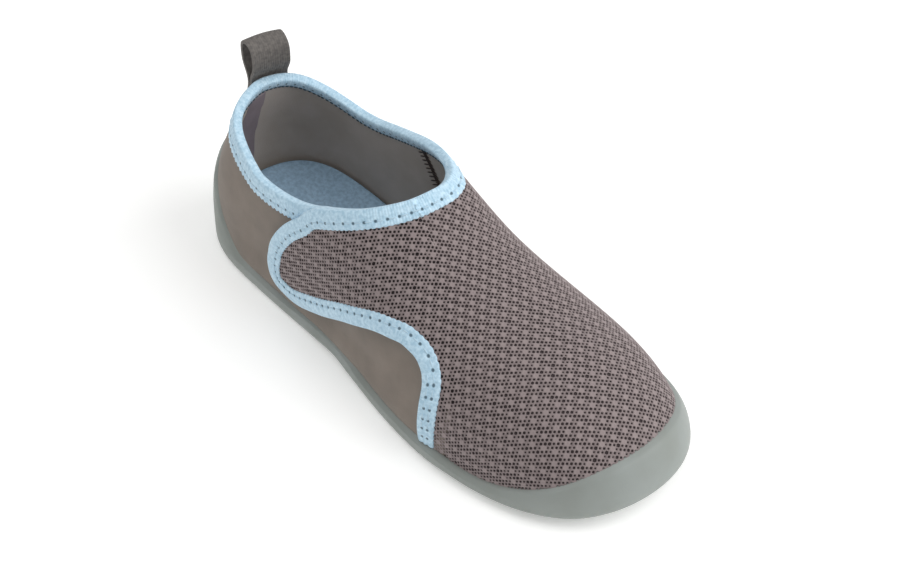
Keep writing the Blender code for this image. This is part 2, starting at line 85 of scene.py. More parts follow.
# Section of a flat strip, in shares of its width and thickness
STRIP_OUTLINE = ((-0.5, -0.3), (-0.5, 0.45), (-0.4, 0.9), (-0.2, 1.0), (0.0, 0.9), (0.2, 1.0), (0.4, 0.9),
                 (0.5, 0.45), (0.5, -0.3))
LOG = logging.getLogger("bootie")

Piece = bpy.types.Object
Socket = bpy.types.NodeSocket
# A point with its normal, and a way to find one from a point and a distance along the tape
Spot = tuple[Vector, Vector]
Finder = Callable[[Vector, float], Spot]


class Slot(Enum):
    """Material slots of the record."""

    UPPER = "upper"
    FLAP = "flap"
    BINDING = "edge_binding"
    LOOP = "pull_loop"
    INSOLE = "insole"
    OUTSOLE = "outsole"


class Side(Enum):
    """Sides of the shoe, with the sign of y on each."""

    LATERAL = -1
    MEDIAL = 1


# Helpers


def linear(hexed: str) -> tuple[float, float, float, float]:
    """Turns a colour as it is seen into the linear one that shaders take.

    Args:
        hexed: sRGB colour, such as "#808080".

    Returns:
        Linear red, green and blue, and an alpha of one.
    """
    parts = [int(hexed[i:i + 2], 16) / 255 for i in (1, 3, 5)]
    red, green, blue = (c / 12.92 if c <= 0.04045 else ((c + 0.055) / 1.055) ** 2.4 for c in parts)
    return red, green, blue, 1.0


def activate(piece: Piece) -> None:
    """Makes one object the only selected and active one.

    Args:
        piece: the object.
    """
    bpy.ops.object.select_all(action="DESELECT")
    piece.select_set(True)
    bpy.context.view_layer.objects.active = piece


@contextmanager
def editing(action: str = "", kind: str = "VERT") -> Iterator[None]:
    """Opens the active piece in edit mode, and closes it again.

    Args:
        action: what to do with all of it first, SELECT or DESELECT; nothing keeps what is selected.
        kind: what is selected: VERT, EDGE or FACE.

    Returns:
        A context in which the piece is open.
    """
    bpy.ops.object.mode_set(mode="EDIT")
    if action:
        bpy.ops.mesh.select_mode(type=kind)
        bpy.ops.mesh.select_all(action=action)
    yield
    bpy.ops.object.mode_set(mode="OBJECT")


def copy_of(node: str, name: str) -> Piece:
    """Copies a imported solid, joins its corners and turns its triangles back into quads.

    Args:
        node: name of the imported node.
        name: name of the new piece.

    Returns:
        The copy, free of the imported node's marks.
    """
    activate(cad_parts[node])
    bpy.ops.object.duplicate()
    piece = bpy.context.object
    piece.name = piece.data.name = name
    piece.data.materials.clear()
    for mark in [key for key in piece.keys() if key.startswith("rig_")]:
        del piece[mark]
    with editing("SELECT"):
        bpy.ops.mesh.customdata_custom_splitnormals_clear()
        bpy.ops.mesh.remove_doubles(threshold=0.01 * MM)
        bpy.ops.mesh.tris_convert_to_quads(face_threshold=1.2, shape_threshold=2.6)
    return piece


def refine(piece: Piece, angle: float, crease: float, rim: float = math.inf) -> None:
    """Subdivides a piece twice, smoothly, with its sharp edges kept.

    Args:
        piece: the object.
        angle: edges that turn by more than this are kept.
        crease: how sharp they are kept, up to 1.
        rim: above this height edges under 3 mm are let go, so that a rim runs smoothly past its facets.
    """
    activate(piece)
    with editing("DESELECT", "EDGE"):
        bpy.ops.mesh.edges_select_sharp(sharpness=angle)
    for edge in piece.data.edges:
        a, b = (piece.data.vertices[i].co for i in edge.vertices)
        edge.select = edge.select and (min(a.z, b.z) < rim or (a - b).length > 3 * MM)
    with editing():
        bpy.ops.transform.edge_crease(value=crease)
        bpy.ops.mesh.select_all(action="DESELECT")
    modifier = piece.modifiers.new("Refine", "SUBSURF")
    modifier.levels = modifier.render_levels = 2
    bpy.ops.object.modifier_apply(modifier=modifier.name)
    bpy.ops.object.shade_smooth_by_angle(angle=angle)


def push_in(piece: Piece, depths: list[float]) -> None:
    """Pushes every corner point of a piece in against its normal.

    Args:
        piece: the object.
        depths: how far each one goes.
    """
    moves = [vert.normal * depth for vert, depth in zip(piece.data.vertices, depths)]
    for vert, move in zip(piece.data.vertices, moves):
        vert.co -= move
    piece.data.update()


def mesh_object(name: str, points: np.ndarray, faces: list) -> Piece:
    """Makes a smooth mesh object from arrays.

    Args:
        name: name of the piece.
        points: corner points, one in a row.
        faces: corner numbers of each face.

    Returns:
        The linked object.
    """
    mesh = bpy.data.meshes.new(name)
    mesh.from_pydata([tuple(p) for p in points], [], [tuple(int(i) for i in f) for f in faces])
    mesh.update()
    piece = bpy.data.objects.new(name, mesh)
    bpy.context.scene.collection.objects.link(piece)
    mesh.shade_smooth()
    return piece


def loft(name: str, rings: np.ndarray, flat: np.ndarray) -> Piece:
    """Joins rings of points into a closed strip with capped ends.

    Args:
        name: name of the piece.
        rings: points, as ring, place in the ring and coordinate.
        flat: distance along and across for each of them, kept as UV.

    Returns:
        The strip.
    """
    count, around = rings.shape[:2]
    faces = []
    for i in range(count - 1):
        for j in range(around):
            k = (j + 1) % around
            faces.append((i * around + j, (i + 1) * around + j, (i + 1) * around + k, i * around + k))
    faces.append(tuple(range(around)))
    faces.append(tuple(range(count * around - 1, (count - 1) * around - 1, -1)))
    piece = mesh_object(name, rings.reshape(-1, 3), faces)
    layer = piece.data.uv_layers.new(name="flat")
    corners = np.zeros(len(piece.data.loops), dtype=np.int32)
    piece.data.loops.foreach_get("vertex_index", corners)
    layer.data.foreach_set("uv", flat.reshape(-1, 2)[corners].astype(np.float32).ravel())
    return piece


def set_values(piece: Piece, name: str, values: np.ndarray) -> None:
    """Keeps one number for each corner point of a piece, for its material to read by name."""
    layer = piece.data.attributes.new(name, "FLOAT", "POINT")
    layer.data.foreach_set("value", np.asarray(values, dtype=np.float32))


def cloth_uv(mesh: bpy.types.Mesh) -> np.ndarray:
    """Reads where each face corner lies on the flat cloth.

    Args:
        mesh: the upper's mesh.

    Returns:
        Distance forward and to the medial side, one corner in a row.
    """
    uv = np.zeros(len(mesh.loops) * 2)
    mesh.uv_layers["cloth"].data.foreach_get("uv", uv)
    return uv.reshape(-1, 2)


def run_of(points: np.ndarray) -> np.ndarray:
    """Measures how far along a line of points each one lies."""
    return np.concatenate([[0], np.cumsum(np.linalg.norm(np.diff(points, axis=0), axis=1))])


def curve_through(points: list[Vector], step: float) -> np.ndarray:
    """Runs a smooth curve through points and cuts it in equal steps.

    Args:
        points: the points, in order.
        step: wanted distance between the results.

    Returns:
        Points of the curve.
    """
    p = np.array([tuple(q) for q in points])
    p = np.vstack([2 * p[0] - p[1], p, 2 * p[-1] - p[-2]])
    fine = []
    for a, b, c, d in zip(p, p[1:], p[2:], p[3:]):
        for t in np.linspace(0, 1, 24, endpoint=False):
            fine.append(0.5 * (2 * b + (c - a) * t + (2 * a - 5 * b + 4 * c - d) * t * t
                               + (3 * b - a - 3 * c + d) * t ** 3))
    fine = np.array(fine + [p[-2]])
    run = run_of(fine)
    places = np.linspace(0, run[-1], max(2, round(run[-1] / step) + 1))
    return np.stack([np.interp(places, run, fine[:, i]) for i in range(3)], axis=1)


def evened(values: np.ndarray, reach: int) -> np.ndarray:
    """Averages rows with their neighbours.

    Args:
        values: rows of numbers.
        reach: neighbours on each side.

    Returns:
        The averaged rows.
    """
    padded = np.concatenate([np.repeat(values[:1], reach, 0), values, np.repeat(values[-1:], reach, 0)])
    total = sum(padded[i:i + len(values)] for i in range(2 * reach + 1))
    return total / (2 * reach + 1)


def unit(rows: np.ndarray) -> np.ndarray:
    """Scales rows to a length of one."""
    return rows / np.maximum(np.linalg.norm(rows, axis=-1, keepdims=True), 1e-12)


def step_up(value: float, low: float, high: float) -> float:
    """Rises softly from 0 at the low place to 1 at the high one."""
    t = min(1.0, max(0.0, (value - low) / (high - low)))
    return t * t * (3 - 2 * t)


class Skin:
    """Some faces of a piece, searched for nearest points and along rays."""

    def __init__(self, piece: Piece, faces: list[int] | None = None) -> None:
        """Takes the faces as they now stand.

        Args:
            piece: the object.
            faces: numbers of the faces, or None for all.
        """
        chosen = range(len(piece.data.polygons)) if faces is None else faces
        self.tree = BVHTree.FromPolygons([v.co.copy() for v in piece.data.vertices],
                                         [tuple(piece.data.polygons[i].vertices) for i in chosen])

    def nearest(self, point: Vector) -> Spot:
        """Finds the nearest point of the skin and the normal there."""
        return self.tree.find_nearest(Vector(point))[:2]

    def distance(self, point: Vector) -> float:
        """Measures how far a point is from the skin."""
        return (Vector(point) - self.nearest(point)[0]).length

    def hits(self, starts: list[Vector], way: Vector) -> list[Spot]:
        """Finds the points, with their normals, where rays from some starts meet the skin."""
        found = [self.tree.ray_cast(start, way)[:2] for start in starts]
        return [spot for spot in found if spot[0] is not None]

    def height(self, point: Vector, normal: Vector, reach: float) -> float | None:
        """Measures how far above a point the skin lies within reach, or gives None where there is none."""
        place = self.tree.ray_cast(point + normal * reach, -normal, reach * 1.3)[0]
        return None if place is None else (place - point).dot(normal)


@contextmanager
def grid_of(piece: Piece) -> Iterator[bmesh.types.BMesh]:
    """Opens the mesh of a piece as linked corners, edges and faces, and frees them again.

    Args:
        piece: the object.

    Returns:
        A context that gives them.
    """
    grid = bmesh.new()
    grid.from_mesh(piece.data)
    grid.normal_update()
    yield grid
    grid.free()


def sharp_loops(piece: Piece, keep: Callable[[bmesh.types.BMVert], bool]) -> list[list[Vector]]:
    """Follows the sharp edges of a piece round.

    Args:
        piece: the object.
        keep: test that an edge's two end points must both pass.

    Returns:
        Points of each closed loop, in order.
    """
    ways, loops, seen = defaultdict(list), [], set()
    with grid_of(piece) as grid:
        for edge in grid.edges:
            if edge.is_manifold and edge.calc_face_angle() > RIM_ANGLE and all(keep(v) for v in edge.verts):
                for vert in edge.verts:
                    ways[vert].append(edge.other_vert(vert))
        for first in list(ways):
            if first in seen:
                continue
            loop, here = [], first
            while here is not None and here not in seen:
                seen.add(here)
                loop.append(here.co.copy())
                here = next((other for other in ways[here] if other not in seen), None)
            loops.append(loop)
    return loops


def dress(piece: Piece, slot: Slot, stands_for: str | None, *finishes: "Finish") -> None:
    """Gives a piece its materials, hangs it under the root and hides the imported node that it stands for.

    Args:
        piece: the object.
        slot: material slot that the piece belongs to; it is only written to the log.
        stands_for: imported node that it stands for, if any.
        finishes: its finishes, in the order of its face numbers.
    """
    for finish in finishes:
        piece.data.materials.append(finish.make())
    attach(piece, "root")
    if stands_for:
        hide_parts(stands_for)
    LOG.info("%s: %d faces, slot %s", piece.name, len(piece.data.polygons), slot.value)


# Finishes


@dataclass
class Pattern:
    """Nodes of a material while its pattern is drawn, with the object coordinates to draw it on."""

    tree: bpy.types.NodeTree
    shader: bpy.types.Node = field(init=False)
    where: Socket = field(init=False)

    def __post_init__(self) -> None:
        """Finds the surface shader and adds the coordinates."""
        self.shader = self.tree.nodes["Principled BSDF"]
        self.where = self.add("TexCoord", out="Object")

    def add(self, kind: str, inputs: dict | None = None, out: int | str = 0, into: str = "",
            **settings: object) -> Socket:
        """Adds a shader node with its settings, constants and links.

        Args:
            kind: type name of the node, after "ShaderNode".
            inputs: value or output socket for each input, by name or index.
            out: its wanted output, by name or index.
            into: input of the surface shader that takes this output, if any.
            settings: properties of the node.

        Returns:
            The wanted output.
        """
        node = self.tree.nodes.new("ShaderNode" + kind)
        for name, value in settings.items():
            setattr(node, name, value)
        for socket, value in (inputs or {}).items():
            if isinstance(value, Socket):
                self.tree.links.new(value, node.inputs[socket])
            else:
                node.inputs[socket].default_value = value
        if into:
            self.tree.links.new(node.outputs[out], self.shader.inputs[into])
        return node.outputs[out]


@dataclass(frozen=True)
class Finish:
    """A material: what the piece is made of and how its surface was made."""

    name: str
    colour: str
    roughness: float
    sheen: float = 0.0
    gloss: float = 0.35
    glow: float = 0.0

    def make(self) -> bpy.types.Material:
        """Builds the material.

        Returns:
            The material with its texture.
        """
        material = bpy.data.materials.new(self.name)
        material.use_nodes = True
        draw = Pattern(material.node_tree)
        colour = linear(self.colour)
        for socket, value in (("Base Color", colour), ("Roughness", self.roughness),
                              ("Sheen Weight", self.sheen), ("Specular IOR Level", self.gloss),
                              ("Emission Color", colour), ("Emission Strength", self.glow)):
            draw.shader.inputs[socket].default_value = value
        self.texture(draw)
        return material

    def texture(self, draw: Pattern) -> None:
        """Draws the pattern of the finish; a plain finish has none."""

    def mottle(self, draw: Pattern, shade: str, size: float, share: float) -> Socket:
        """Lets the colour drift between two shades, as worn or dyed cloth does.

        Args:
            draw: nodes of the material.
            shade: the other shade.
            size: size of the patches.
            share: how far the colour drifts.

        Returns:
            The mixed colour, already linked to the shader.
        """
        patches = draw.add("TexNoise", {"Vector": draw.where, "Scale": 1 / size, "Detail": 3.0})
        amount = draw.add("MapRange", {"Value": patches, 1: 0.35, 2: 0.65, 3: 0.0, 4: share})
        return draw.add("Mix", {0: amount, 6: linear(self.colour), 7: linear(shade)}, 2, "Base Color",
                        data_type="RGBA")


@dataclass(frozen=True)
class StretchFabric(Finish):
    """Smooth knit quarter: even matte cloth with fine wales, painted dark as shade under the open knit."""

    shade: str = "#6a625b"
    # Painted shade: the colour of the cloth under the open knit, seen through its holes
    ground: str = "#433a3b"
    patch: float = 9 * MM
    wale: float = 0.55 * MM
    relief: float = 0.12 * MM

    def texture(self, draw: Pattern) -> None:
        """Adds wales, a slow drift of shade and, under the knit, a dark ground that is painted shade.

        Args:
            draw: nodes of the material.
        """
        mixed = self.mottle(draw, self.shade, self.patch, 0.35)
        # Painted shade: where the open knit lies, the cloth goes dark, as the holes of the knit look
        under = draw.add("Attribute", out="Fac", attribute_name="ground")
        draw.add("Mix", {0: under, 6: mixed, 7: linear(self.ground)}, 2, "Base Color", data_type="RGBA")
        wales = draw.add("TexVoronoi", {"Vector": draw.where, "Scale": 1 / self.wale, "Randomness": 0.6})
        draw.add("Bump", {"Height": wales, "Strength": 0.35, "Distance": self.relief}, into="Normal",
                 invert=True)


@dataclass(frozen=True)
class Jersey(Finish):
    """Plain jersey, as in the lining and on the insole: dull, with a fine grain that softens highlights."""

    shade: str = "#3f3f40"
    patch: float = 12 * MM
    grain: float = 0.5 * MM
    relief: float = 0.15 * MM

    def texture(self, draw: Pattern) -> None:
        """Adds the grain and a drift of shade.

        Args:
            draw: nodes of the material.
        """
        self.mottle(draw, self.shade, self.patch, 0.6)
        grain = draw.add("TexNoise", {"Vector": draw.where, "Scale": 1 / self.grain, "Detail": 2.0})
        draw.add("Bump", {"Height": grain, "Strength": 0.3, "Distance": self.relief}, into="Normal")


@dataclass(frozen=True)
class KnitYarn(Finish):
    """Yarn of the open knit: light on its crests and painted dark as shade down in the holes."""

    shade: str = "#8f8283"
    # Painted shade: the colour that the yarn goes to down in the holes
    hole_shade: str = "#463a3a"
    patch: float = 1.6 * MM
    fibre: float = 0.25 * MM
    relief: float = 0.1 * MM

    def texture(self, draw: Pattern) -> None:
        """Paints shade on the yarn by how deep it lies, and gives it fibres.

        Args:
            draw: nodes of the material.
        """
        mixed = self.mottle(draw, self.shade, self.patch, 0.5)
        # Painted shade: the yarn darkens towards the colour of the holes by its painted depth value
        deep = draw.add("Attribute", out="Fac", attribute_name="depth")
        draw.add("Mix", {0: deep, 6: mixed, 7: linear(self.hole_shade)}, 2, "Base Color", data_type="RGBA")
        fibres = draw.add("TexNoise", {"Vector": draw.where, "Scale": 1 / self.fibre})
        draw.add("Bump", {"Height": fibres, "Strength": 0.4, "Distance": self.relief}, into="Normal")


@dataclass(frozen=True)
class MouldedRubber(Finish):
    """Moulded rubber: matte, a little translucent, with rows of small studs on the ground side."""

    shade: str = "#878c86"
    patch: float = 18 * MM
    rubbed: float = 7 * MM
    skin: float = 0.6 * MM
    skin_relief: float = 0.1 * MM
    stud: float = 3.4 * MM
    stud_relief: float = 0.6 * MM
    depth_of_light: float = 1.5 * MM

    def texture(self, draw: Pattern) -> None:
        """Adds an uneven sheen, the skin of the mould and the studs below.

        Args:
            draw: nodes of the material.
        """
        self.mottle(draw, self.shade, self.patch, 0.6)
        for socket, value in (("Weight", 0.12), ("Radius", (1.0, 1.0, 1.0)), ("Scale", self.depth_of_light)):
            draw.shader.inputs["Subsurface " + socket].default_value = value
        rubbed = draw.add("TexNoise", {"Vector": draw.where, "Scale": 1 / self.rubbed, "Detail": 4.0})
        draw.add("MapRange", {"Value": rubbed, 1: 0.3, 2: 0.7, 3: self.roughness - 0.06,
                              4: self.roughness + 0.1}, into="Roughness")
        skin = draw.add("TexNoise", {"Vector": draw.where, "Scale": 1 / self.skin, "Detail": 2.0})
        fine = draw.add("Bump", {"Height": skin, "Strength": 0.12, "Distance": self.skin_relief})
        studs = draw.add("TexVoronoi", {"Vector": draw.where, "Scale": 1 / self.stud, "Randomness": 0.0},
                         voronoi_dimensions="2D")
        cut = draw.add("MapRange", {"Value": studs, 1: 0.34, 2: 0.42, 3: 1.0, 4: 0.0})
        facing = draw.add("SeparateXYZ", {0: draw.add("NewGeometry", out="Normal")}, "Z")
        below = draw.add("MapRange", {"Value": facing, 1: -0.9, 2: -0.8, 3: 1.0, 4: 0.0})
        tread = draw.add("Math", {0: cut, 1: below}, operation="MULTIPLY")
        draw.add("Bump", {"Height": tread, "Strength": 0.8, "Distance": self.stud_relief, "Normal": fine},
                 into="Normal")


@dataclass(frozen=True)
class ElasticTape(Finish):
    """Folded elastic tape: soft satin ribs across it, with painted shade in the needle holes along its
    seams.

    Each row of holes has its place across the tape and the distance along at which it begins.
    """

    shade: str = "#9dc2d8"
    # Painted shade: the colour of the needle holes
    needle_hole_shade: str = "#3f5866"
    patch: float = 1.1 * MM
    rib: float = 0.9 * MM
    terry: float = 0.8 * MM
    relief: float = 0.3 * MM
    rows: tuple[tuple[float, float], ...] = ((3.4 * MM, 0.0), (-2.4 * MM, 0.0))
    pitch: float = 3.5 * MM
    hole: tuple[float, float] = (0.32 * MM, 0.62 * MM)

    def texture(self, draw: Pattern) -> None:
        """Adds ribs, and needle holes painted dark as shade, on the tape's own flat coordinates.

        Args:
            draw: nodes of the material.
        """
        colour = self.mottle(draw, self.shade, self.patch, 0.75)
        along, across, _ = draw.add("SeparateXYZ", {0: draw.add("UVMap", uv_map="flat")}).node.outputs
        beside = draw.add("Math", {0: along, 1: self.pitch / 2}, operation="PINGPONG")
        # Painted shade: a dark spot at each needle hole along each row
        for row, begins in self.rows:
            off = draw.add("Math", {0: across, 1: row}, operation="SUBTRACT")
            both = draw.add("CombineXYZ", {0: beside, 1: off})
            gap = draw.add("VectorMath", {0: both}, "Value", operation="LENGTH")
            hole = draw.add("MapRange", {"Value": gap, 1: self.hole[0], 2: self.hole[1], 3: 0.9, 4: 0.0})
            there = draw.add("Math", {0: along, 1: begins}, operation="GREATER_THAN")
            dark = draw.add("Math", {0: hole, 1: there}, operation="MULTIPLY")
            colour = draw.add("Mix", {0: dark, 6: colour, 7: linear(self.needle_hole_shade)}, 2, "Base Color",
                              data_type="RGBA")
        turn = draw.add("Math", {0: along, 1: 2 * math.pi / self.rib}, operation="MULTIPLY")
        ribs = draw.add("Math", {0: turn}, operation="SINE")
        loops = draw.add("TexNoise", {"Vector": draw.where, "Scale": 1 / self.terry})
        cloth = draw.add("Math", {0: ribs, 1: 0.25, 2: loops}, operation="MULTIPLY_ADD")
        draw.add("Bump", {"Height": cloth, "Strength": 0.5, "Distance": self.relief}, into="Normal")


@dataclass(frozen=True)
class Webbing(Finish):
    """Woven webbing: ribs run along the strap and thin weft lines cross them."""

    shade: str = "#5d5a58"
    # Painted shade: the colour that the low lines of the weave go towards
    groove_shade: str = "#2a2828"
    heading: float = LOOP_HEADING
    patch: float = 1.1 * MM
    rib: float = 0.8 * MM
    weft: float = 0.44 * MM
    relief: float = 0.15 * MM

    def texture(self, draw: Pattern) -> None:
        """Adds the ribs along the strap, with a little painted shade where the weave lies low.

        Args:
            draw: nodes of the material.
        """
        mixed = self.mottle(draw, self.shade, self.patch, 0.8)
        turned = draw.add("Mapping", {"Vector": draw.where, "Rotation": (0, 0, -self.heading)})
        _, across, up = draw.add("SeparateXYZ", {0: turned}).node.outputs
        weave = []
        for place, pitch in ((across, self.rib), (up, self.weft)):
            phase = draw.add("Math", {0: place, 1: 2 * math.pi / pitch}, operation="MULTIPLY")
            weave.append(draw.add("Math", {0: phase}, operation="SINE"))
        lines = draw.add("Math", {0: weave[1], 1: 0.4, 2: weave[0]}, operation="MULTIPLY_ADD")
        # Painted shade: the low lines of the weave go a little darker
        low = draw.add("MapRange", {"Value": lines, 1: -1.2, 2: 0.2, 3: 0.06, 4: 0.0})
        draw.add("Mix", {0: low, 6: mixed, 7: linear(self.groove_shade)}, 2, "Base Color", data_type="RGBA")
        draw.add("Bump", {"Height": lines, "Strength": 0.25, "Distance": self.relief}, into="Normal")


# Knitted stretch cloth: no shine, a brownish grey that drifts a little where it is stretched.
QUARTER = StretchFabric("stretch knit quarter", "#857b72", 0.82, sheen=0.15, gloss=0.2)
# The same cloth painted nearly black as shade: seen only as the dark in the holes of the knit.
BACKING = StretchFabric("dark flap backing", "#332d2e", 0.85, gloss=0.15, shade="#2a2526")
# Brushed jersey: flat and pale in itself, it looks mid grey in the shade of the shoe.
LINING = Jersey("jersey lining", "#b4aaa3", 0.85, gloss=0.2, shade="#a49a90")
# Spun yarn: a soft edge of light on each loop, none in the holes, which are painted dark as shade.
YARN = KnitYarn("open knit yarn", "#998c8b", 0.7, sheen=0.2, gloss=0.25)
# Moulded rubber: broad dull highlights, light that goes a little way in at the edges.
RUBBER = MouldedRubber("moulded grey rubber", "#949a97", 0.5, gloss=0.4)
# Folded elastic: a pale satin bead with a felted face.  Its ribs are drawn coarse so that they show.
TAPE = ElasticTape("light blue elastic tape", "#c9e5f6", 0.6, sheen=0.25, gloss=0.3)
# Woven webbing: dull, with fine lines along it.
WEBBING = Webbing("ribbed grey webbing", "#76716d", 0.75, gloss=0.25)
# Jersey over foam: flecked light and darker blue, as melange yarn is.
FOAM_COVER = Jersey("light blue insole cover", "#b6d6ef", 0.8, gloss=0.2, shade="#8babc7", patch=1.2 * MM)
# Spun thread: small dull beads of light.
BLUE_THREAD = Finish("light blue sewing thread", "#b9d3e2", 0.6)
DARK_THREAD = Finish("dark blue sewing thread", "#2f4552", 0.6)
BROWN_THREAD = Finish("dark brown sewing thread", "#3a302c", 0.6)
# Cut and turned cloth: dull strips, a shade darker or more purple than what they lie on.
SEAM_CLOTH = Jersey("turned seam edge", "#6a615b", 0.85, gloss=0.2, shade="#564e49")
HEEL_CLOTH = Jersey("purple grey seam strip", "#8b8085", 0.8, gloss=0.2, shade="#786d72")
# Matte paper: nearly white, with a faint glow so that only the contact shadow shows.
FLOOR = Finish("pale matte floor", "#fafaf9", 0.9, gloss=0.1, glow=0.27)


# Pieces of the shoe


@dataclass(frozen=True)
class Fold:
    """A soft trough or ridge that wear has put in the cloth, placed one by one."""

    from_heel: float
    z: float
    side: Side
    tilt: float
    length: float
    width: float
    depth: float

    def at(self, point: Vector) -> float:
        """Gives the depth of the fold at a point.

        Args:
            point: a point of the cloth.

        Returns:
            How far the cloth is pushed in there.
        """
        if point.y * self.side.value < 0:
            return 0.0
        along, up = point.x - HEEL - self.from_heel, point.z - self.z
        u = along * math.cos(self.tilt) + up * math.sin(self.tilt)
        v = up * math.cos(self.tilt) - along * math.sin(self.tilt)
        return self.depth * math.exp(-(u / self.length) ** 2 - (v / self.width) ** 2)


@dataclass(frozen=True)
class SeamLine:
    """Seam between the smooth quarter and the open knit on the medial side."""

    top: tuple[float, float] = (65.3 * MM, 48 * MM)
    foot: tuple[float, float] = (80.3 * MM, 6 * MM)

    def from_heel(self, z: float) -> float:
        """Finds how far from the heel the seam lies at a height."""
        share = (z - self.foot[1]) / (self.top[1] - self.foot[1])
        return self.foot[0] + (self.top[0] - self.foot[0]) * share


@dataclass
class Upper:
    """Shell of the shoe: smooth quarter, ground under the open knit painted dark as shade, lining inside."""

    seam: SeamLine = SeamLine()
    wall: float = 2.0 * MM
    sink: float = 0.24 * MM
    swell: float = 1.1 * MM
    swell_heights: tuple[float, ...] = (5.0 * MM, 6.2 * MM, 7.5 * MM, 17 * MM)
    swell_lengths: tuple[float, ...] = (18 * MM, 34 * MM, 116 * MM, 140 * MM)
    collar_height: float = 50 * MM
    rim_turn: float = math.radians(68)
    lateral_patch: float = 38.7 * MM
    spare: float = 12 * MM
    top_of_vamp: float = 127.7 * MM
    folds: tuple[Fold, ...] = (
        Fold(66 * MM, 17 * MM, Side.LATERAL, 0.25, 14 * MM, 2.6 * MM, 0.35 * MM),
        Fold(92 * MM, 15 * MM, Side.LATERAL, 0.12, 12 * MM, 2.4 * MM, 0.30 * MM),
        Fold(36 * MM, 24 * MM, Side.LATERAL, 1.25, 8 * MM, 2.8 * MM, 0.30 * MM),
        Fold(48 * MM, 22 * MM, Side.MEDIAL, 1.2, 9 * MM, 3.0 * MM, 0.30 * MM),
        Fold(104 * MM, 24 * MM, Side.MEDIAL, -0.9, 10 * MM, 3.0 * MM, 0.35 * MM),
    )
    piece: Piece = field(init=False)
    skin: Skin = field(init=False)
    lining: Skin = field(init=False)
    collar: list[Vector] = field(init=False)

    def build(self) -> None:
        """Copies the solid, lays its cloth flat for the knit and smooths it."""
        piece = self.piece = copy_of("upper", "upper_shell")
        loops = sharp_loops(piece, lambda v: True)
        rims = [loop for loop in loops if max(p.z for p in loop) > self.collar_height and len(loop) > 20]
        self.collar = max(rims, key=lambda loop: run_of(np.array(loop))[-1])
        outer = self.outer_faces()
        for face in piece.data.polygons:
            face.material_index = 0 if face.index in outer else 1
        self.flatten([i for i in outer if self.in_patch(piece.data.polygons[i].center)])
        refine(piece, RIM_ANGLE, crease=1.0)
        push_in(piece, [sum(fold.at(v.co) for fold in self.folds) - self.swelling(v.co, v.normal)
                        for v in piece.data.vertices])
        faces = piece.data.polygons
        self.skin, self.lining = (Skin(piece, [f.index for f in faces if f.material_index == k])
                                  for k in (0, 1))

    def swelling(self, point: Vector, normal: Vector) -> float:
        """Gives the swell of the soft quarter over the edge of the rubber.

        Args:
            point: a point of the cloth.
            normal: its normal.

        Returns:
            How far the cloth stands out there.
        """
        if normal.y * point.y < 0:
            return 0.0
        swell = self.swell
        for value, places in ((point.z, self.swell_heights), (point.x - HEEL, self.swell_lengths)):
            swell *= step_up(value, *places[:2]) * (1 - step_up(value, *places[2:]))
        return swell

    def outer_faces(self) -> set[int]:
        """Spreads from the widest face over the outside, up to the rims.

        Returns:
            Numbers of the outer faces.
        """
        found = set()
        with grid_of(self.piece) as grid:
            queue = [max(grid.faces, key=lambda f: f.calc_center_median().y)]
            while queue:
                face = queue.pop()
                if face.index in found:
                    continue
                found.add(face.index)
                for edge in face.edges:
                    if edge.calc_face_angle() < self.rim_turn:
                        queue += [other for other in edge.link_faces if other.index not in found]
        return found

    def in_patch(self, point: Vector) -> bool:
        """Tells if a point lies in the cloth that the knit is cut from, which has some to spare."""
        back = self.seam.from_heel(point.z) - self.spare if point.y > 0 else self.lateral_patch
        return point.x - HEEL > back

    def flatten(self, faces: list[int]) -> None:
        """Lays some faces flat with little stretch, in metres, with u forward along the top of the vamp.

        Args:
            faces: numbers of the faces.
        """
        mesh = self.piece.data
        mesh.uv_layers.new(name="cloth")
        activate(self.piece)
        with editing("DESELECT", "FACE"):
            pass
        for i in faces:
            mesh.polygons[i].select = True
        with editing():
            bpy.ops.uv.unwrap(method="MINIMUM_STRETCH", margin=0.0, fill_holes=True, iterations=40)
        uv = cloth_uv(mesh)
        area, flat_area = 0.0, 0.0
        for i in faces:
            ring = uv[list(mesh.polygons[i].loop_indices)]
            turn = np.roll(ring, -1, 0)
            area += mesh.polygons[i].area
            flat_area += abs(np.sum(ring[:, 0] * turn[:, 1] - ring[:, 1] * turn[:, 0])) / 2
        mark = Vector((HEEL + self.top_of_vamp, 0, 100 * MM))
        top = min((mesh.polygons[i] for i in faces if mesh.polygons[i].normal.z > 0.6),
                  key=lambda f: (f.center - mark).xy.length)
        spots = np.array([tuple(mesh.vertices[v].co - top.center) for v in top.vertices])
        ring = uv[list(top.loop_indices)]
        middle = ring.mean(0)
        slope = np.linalg.lstsq(spots[:, :2], ring - middle, rcond=None)[0]
        scale = math.sqrt(area / flat_area)
        forward = slope[0] / np.linalg.norm(slope[0])
        side = np.array([-forward[1], forward[0]])
        side *= np.sign(side @ slope[1])
        uv = np.stack([(uv - middle) @ forward, (uv - middle) @ side], axis=1) * scale
        loose = np.ones(len(mesh.loops), dtype=bool)
        for i in faces:
            loose[list(mesh.polygons[i].loop_indices)] = False
        uv[loose] = OFF_CLOTH
        mesh.uv_layers["cloth"].data.foreach_set("uv", uv.astype(np.float32).ravel())

    def dress(self, flap: "Flap") -> None:
        """Sinks the ground under the knit, marks it for painted shade and gives the shell its cloths.

        Args:
            flap: the closing flap, which says where the knit begins on the lateral side.
        """
        mesh = self.piece.data
        outside = np.zeros(len(mesh.vertices))
        for face in mesh.polygons:
            if face.material_index == 0:
                outside[list(face.vertices)] = 1
        # Under the knit: sunk, and painted dark as shade by the quarter's material
        ground = np.array([flap.knit_cover(v.co, self.seam) for v in mesh.vertices]) * outside
        push_in(self.piece, (ground * self.sink).tolist())
        set_values(self.piece, "ground", ground)
        dress(self.piece, Slot.UPPER, "upper", QUARTER, LINING)


